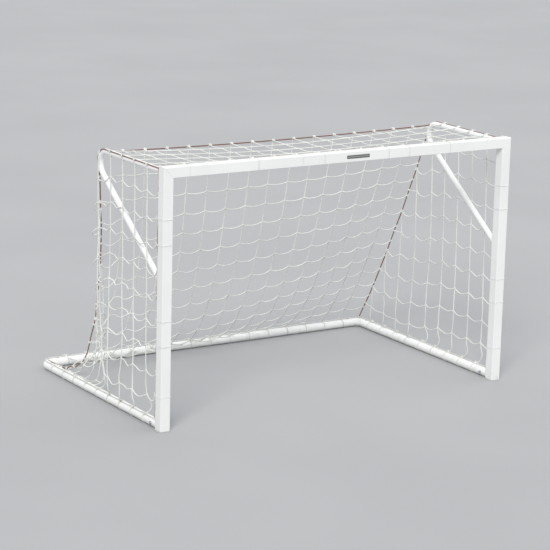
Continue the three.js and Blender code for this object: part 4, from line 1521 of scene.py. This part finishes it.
def draw_sheets(web, points):
    sheets = {kind: Bag() for kind in ("top", "back", "left", "right")}
    knot = torus_knot(ring=0.0031, wave=0.0019, tube=0.00185)
    tangent = {}
    for n, (kind, path) in enumerate(web.cords):
        line = points[path]
        ways = np.gradient(line, axis=0)
        ways /= np.linalg.norm(ways, axis=1)[:, None] + 1e-12
        for i, way in enumerate(ways):
            tangent[n, i] = way
        if kind != "rope":
            sheets[kind].tube(smooth_path(line, 3), TWINE_R, taper=TWINE_R * 0.6)
    for point, where in web.crossings().items():
        cords = [(n, i) for n, i in where if web.cords[n][0] != "rope"]
        ropes = [(n, i) for n, i in where if web.cords[n][0] == "rope"]
        if ropes and cords:
            axis = tangent[ropes[0]]
            for n, i in cords:
                way = tangent[n, i] if i == 0 else -tangent[n, i]
                # where several cords meet one rope their hitches sit side by side
                shift = 0.0
                if len(cords) > 1:
                    shift = 0.0032 if i == 0 else -0.0032
                hitch(sheets[web.cords[n][0]], points[point] + axis * shift, axis, way)
        elif len(cords) == 2:
            first, second = tangent[cords[0]], tangent[cords[1]]
            facing = np.cross(first, second)
            if np.linalg.norm(facing) < 0.2:
                facing = np.cross(first, (0.3, 0.8, 0.1))
            facing /= np.linalg.norm(facing)
            # vary which way the knots face and how far they are turned
            if (point * 7) % 3 == 0:
                facing = -facing
            spin = ((point * 37) % 60) / 60 * 2 * math.pi / 3
            along = first * math.cos(spin) + np.cross(facing, first) * math.sin(spin)
            axes = [along, np.cross(facing, along), facing]
            put_knot(sheets[web.cords[cords[0][0]][0]], knot, axes, points[point])
    for kind, bag in sheets.items():
        sheet = bag.build(f"net_{kind}_sheet", TWINE, "net_cord")
        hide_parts(f"net_{kind}_panel")


def border_rope(name, points, replaced=None, material=ROPE, slot="border_rope"):
    bag = Bag()
    path = resample(smooth_path(points, 6), 0.0022)
    bag.tube(path, ROPE_R, sides=12, strands=3, lay=0.026, taper=0.0012)
    obj = bag.build(name, material, slot)
    if replaced:
        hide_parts(replaced)


def mouth_half(sign):
    """The mouth rope up one post, from the ground rope to the crossbar."""
    line = [(sign * 0.9525, -0.5508, GROUND_ROPE_Z + 0.0055), (sign * 0.9585, -0.5545, 0.056)]
    line += [post_line(sign, z) for z in np.linspace(0.075, 1.196, 64)]
    return line + [(sign * 0.9605, -0.5575, 1.2075), (sign * 0.9555, -0.5598, 1.2140)]


def border_ropes(points, seam):
    cross = [(x, CROSS_ROPE_Y, CROSS_ROPE_Z) for x in np.linspace(-0.945, 0.945, 60)]
    border_rope("net_mouth_rope", mouth_half(-1) + cross + mouth_half(1)[::-1], "net_front_rope")

    ground = [ground_rope_side(-1, t) for t in np.linspace(0, 1, 60)][:-1]
    ground += [ground_rope_rear(t) for t in np.linspace(0, 1, 80)]
    ground += [ground_rope_side(1, t) for t in np.linspace(1, 0, 60)][1:]
    border_rope("net_base_rope", ground, "net_ground_rope", WHITE_ROPE, "net_cord")

    for side, sign in SIDES:
        run = [np.array((sign * 0.9540, -0.5592, 1.2118))]
        run += [support_rope(sign, t) for t in np.linspace(0.03, 1, 36)]
        border_rope(f"{side}_support_rope", run)
        border_rope(f"{side}_seam_rope", points[seam[sign]], f"{side}_corner_rope")

    # over the tube at each end, then straight across with a slight sag
    left, right = (
        [over_tube(sign, math.radians(t), REAR_ROPE_ANGLE) for t in (27, 14, 0, -14, -28, -42)]
        for _, sign in SIDES
    )
    middle = []
    for t in np.linspace(0, 1, 34)[1:-1]:
        place = lerp(left[-1], right[-1], t)
        place[2] -= bow(REAR_SAG, t)
        middle.append(place)
    border_rope("rear_top_border_rope", left + middle + right[::-1], "rear_top_rope")


# ---------------------------------------------------------------- ties
def hull(points):
    """The convex outline of points in a plane."""
    points = sorted(set((round(x, 7), round(y, 7)) for x, y in points))

    def turns_right(a, b, c):
        return (b[0] - a[0]) * (c[1] - a[1]) - (b[1] - a[1]) * (c[0] - a[0]) <= 0

    def half(run):
        out = []
        for point in run:
            while len(out) > 1 and turns_right(out[-2], out[-1], point):
                out.pop()
            out.append(point)
        return out

    return np.array(half(points)[:-1] + half(points[::-1]))


def circle(centre, radius, count):
    angles = np.arange(count) / count * 2 * math.pi
    return [(centre[0] + radius * math.cos(t), centre[1] + radius * math.sin(t)) for t in angles]


SMALL_KNOT = torus_knot(ring=0.0022, wave=0.0013, tube=0.00118)
tie_random = np.random.default_rng(11)


def tie(bag, rope_place, tube_at, axis, tube_r=None):
    """Cord round a tube and the rope beside it, finished in a knot with two tails.

    The tube runs along axis (0, 1 or 2) through tube_at on the other two.
    Without tube_r it is a square post.
    """
    across = [i for i in range(3) if i != axis]
    rope_place = np.array(rope_place, float)
    origin = rope_place.copy()
    origin[across] = tube_at
    origin[axis] += 0.0045
    rope_at = rope_place[across] - origin[across]
    way_u, way_v = np.eye(3)[across]
    way_w = np.eye(3)[axis]
    if axis == 1:
        # X, Z and Y in this order; the cross product below takes them as they are
        pass
    clear = TIE_R + 0.0001
    if tube_r:
        turns = 2
        outline = circle((0, 0), tube_r + clear, 40)
    else:
        turns = 1
        corner_r = 0.004
        reach = POST / 2 - corner_r
        outline = []
        for x, y in ((-reach, -reach), (-reach, reach), (reach, -reach), (reach, reach)):
            outline += circle((x, y), corner_r + clear, 24)
    ring = hull(outline + circle(rope_at, ROPE_R + clear, 32))
    # start beside the rope
    distance = np.linalg.norm(rope_at) + 1e-9
    start = rope_at * (1 + (ROPE_R + clear) / distance)
    ring = np.roll(ring, -int(np.argmin(np.linalg.norm(ring - start, axis=1))), axis=0)
    loop = resample(np.c_[ring, np.zeros(len(ring))], 0.0022, closed=True)[:, :2]
    total = turns * len(loop)
    path = []
    for k in range(total + 1):
        point = loop[k % len(loop)]
        shift = (k / total - 0.5) * TIE_R * 2.15 * turns
        path.append(origin + way_u * point[0] + way_v * point[1] + way_w * shift)
    bag.tube(path, TIE_R, taper=TIE_R * 0.5)
    # knot and tails
    out = rope_at / distance
    out = way_u * out[0] + way_v * out[1]
    beside = np.cross(way_w, out)
    centre = (path[0] + path[-1]) / 2 + out * 0.0018
    put_knot(bag, SMALL_KNOT, [way_w, beside, out], centre)
    for sign in (-1, 1):
        length = 0.011 + 0.007 * tie_random.random()
        bend = (tie_random.random() - 0.5) * 0.008
        tail = []
        for t in np.linspace(0, 1, 9):
            run = way_w * sign * (0.001 + length * t)
            lift = out * (0.001 + 0.004 * math.sin(t * 2.2))
            droop = np.array((0, 0, 0.006 * t * t))
            tail.append(centre + run + lift + beside * bend * t * t - droop)
        bag.tube(tail, TIE_R * 0.95, taper=TIE_R * 0.4)


def draw_ties(points, seam):
    """Short cords that hold the border ropes to the frame, and bindings where ropes meet."""
    bags = {name: Bag() for name in ("left", "right", "cross", "rear")}
    for side, sign in SIDES:
        x = sign * POST_X
        for row in (2, 3, 6, 7, 9):  # clear of the plates
            tie(bags[side], post_row(sign, row), (x, POST_Y), axis=2)
        for k in range(1, 5):
            tie(bags[side], support_rope(sign, k / 5), (x, CROSS_Z), axis=1, tube_r=STAY_R)
        for k in range(1, 10):
            tie(bags[side], ground_rope_side(sign, k / 10), (x, BAR_Z), axis=1, tube_r=BAR_R)
    for i in range(1, COLS):
        f = i / COLS
        if i % 3 == 1 or i in (6, 11):
            place = (-BORDER_X + 2 * BORDER_X * f, CROSS_ROPE_Y, CROSS_ROPE_Z)
            tie(bags["cross"], place, (POST_Y, CROSS_Z), axis=0)
        tie(bags["rear"], ground_rope_rear(f), (REAR_Y, BAR_Z), axis=0, tube_r=BAR_R)
    for side, sign in SIDES:
        bag = bags[side]
        top = np.array((sign * 0.9545, -0.5594, 1.2135))
        whipping(bag, top, (sign * 0.2, 0.9, -0.2), length=0.012, radius=0.0052)
        end = support_rope(sign, 1.0)
        way = end - support_rope(sign, 0.98)
        whipping(bag, end + way * 0.6, way, length=0.014, radius=0.0042)
        corner = ground_corner(sign)
        way = points[seam[sign][-2]] - corner
        place = corner + way / np.linalg.norm(way) * 0.010
        whipping(bag, place, way, length=0.012, radius=0.0036)
        foot = np.array((sign * 0.9515, -0.5520, GROUND_ROPE_Z + 0.0025))
        whipping(bag, foot, (0, 1, 0), length=0.010, radius=0.0052)
    for name, bag in bags.items():
        bag.build(f"{name}_ties", LACING, "net_cord")


web, settled, seam = settle_net()
draw_sheets(web, settled)
border_ropes(settled, seam)
draw_ties(settled, seam)


# ---------------------------------------------------------------- floor, light and camera
def stage_floor():
    count, size = 24, 60.0
    marks = [-size / 2 + size * i / count for i in range(count + 1)]
    bm = bmesh.new()
    verts = [[bm.verts.new((x, y, -0.0006)) for y in marks] for x in marks]
    for i in range(count):
        for j in range(count):
            near, far = verts[i], verts[i + 1]
            bm.faces.new((near[j], far[j], far[j + 1], near[j + 1]))
    mat = Shader("studio_floor")
    tone = mat.ramp(mat.noise(mat.position(), scale=0.7), over=(0.3, 0.7))
    base = mat.mix(tone, (0.390, 0.395, 0.402), (0.408, 0.413, 0.420))
    mat.set(Base_Color=base, Roughness=0.85, Specular_IOR_Level=0.0)
    mesh = bpy.data.meshes.new("studio_floor")
    bm.to_mesh(mesh)
    bm.free()
    add_object("studio_floor", mesh, mat.material)


def studio_world():
    world = bpy.data.worlds.new("studio")
    scene.world = world
    world.use_nodes = True
    tree = world.node_tree
    light = tree.nodes["Background"]
    light.inputs["Color"].default_value = (0.95, 0.97, 1.0, 1.0)
    light.inputs["Strength"].default_value = 0.725
    # past the edge of the floor the eye sees the floor's own tone, so there is no horizon
    seen = tree.nodes.new("ShaderNodeBackground")
    seen.inputs["Color"].default_value = (0.532, 0.544, 0.557, 1.0)
    seen.inputs["Strength"].default_value = 1.0
    ray = tree.nodes.new("ShaderNodeLightPath")
    pick = tree.nodes.new("ShaderNodeMixShader")
    tree.links.new(ray.outputs["Is Camera Ray"], pick.inputs[0])
    tree.links.new(light.outputs[0], pick.inputs[1])
    tree.links.new(seen.outputs[0], pick.inputs[2])
    tree.links.new(pick.outputs[0], tree.nodes["World Output"].inputs[0])


def sun(name, way, strength, spread, colour=(1, 1, 1)):
    """Light from far off, over spread degrees, for even light and soft shadows."""
    light = bpy.data.lights.new(name, "SUN")
    light.energy = strength
    light.angle = math.radians(spread)
    light.color = colour
    obj = bpy.data.objects.new(name, light)
    scene.collection.objects.link(obj)
    obj.rotation_euler = Vector(way).to_track_quat("-Z", "Y").to_euler()


def camera():
    """Set by yaw, pitch and roll, with the lens and shift that fit the goal to the frame."""
    eye = Vector((-5.872, -9.264, 3.096))
    yaw, pitch, roll = (math.radians(angle) for angle in (32.83, 13.23, 1.60))
    fill = 0.86  # share of the frame's width that the goal takes
    view = Vector((
        math.sin(yaw) * math.cos(pitch), math.cos(yaw) * math.cos(pitch), -math.sin(pitch)
    ))
    level = Vector((math.cos(yaw), -math.sin(yaw), 0))
    upright = level.cross(view)
    right = level * math.cos(roll) + upright * math.sin(roll)
    up = upright * math.cos(roll) - level * math.sin(roll)
    lens = bpy.data.cameras.new("camera")
    obj = bpy.data.objects.new("camera", lens)
    scene.collection.objects.link(obj)
    rows = [(right[i], up[i], -view[i], eye[i]) for i in range(3)]
    obj.matrix_world = Matrix((*rows, (0, 0, 0, 1)))
    lens.sensor_fit = "HORIZONTAL"
    lens.sensor_width = 36
    lens.clip_end = 100
    low, high = cad_box
    across, upward = [], []
    for x in (low.x, high.x):
        for y in (low.y, high.y):
            for z in (low.z, high.z):
                # the upper rear corners reach only as far back as the net supports
                reach = stay_hi.y if z > 0.5 and y > 0.5 else y
                # once drawn in, the rear stays so for the corners still to come
                y = reach
                sight = Vector((x, y, z)) - eye
                across.append(sight.dot(right) / sight.dot(view))
                upward.append(sight.dot(up) / sight.dot(view))
    focal = fill / (max(across) - min(across))
    lens.lens = focal * lens.sensor_width
    lens.shift_x = focal * (max(across) + min(across)) / 2
    lens.shift_y = focal * (max(upward) + min(upward)) / 2
    scene.camera = obj


scene = bpy.context.scene
stage_floor()
studio_world()
sun("key", way=(0.78, 0.85, -0.92), strength=2.06, spread=24, colour=(1.0, 0.985, 0.96))
sun("fill", way=(-0.95, 0.35, -0.6), strength=0.89, spread=60, colour=(0.95, 0.975, 1.0))
sun("back", way=(-0.1, -0.95, -0.7), strength=0.57, spread=60)
camera()
scene.view_settings.view_transform = "Standard"
scene.view_settings.look = "None"
scene.view_settings.exposure = 0.0
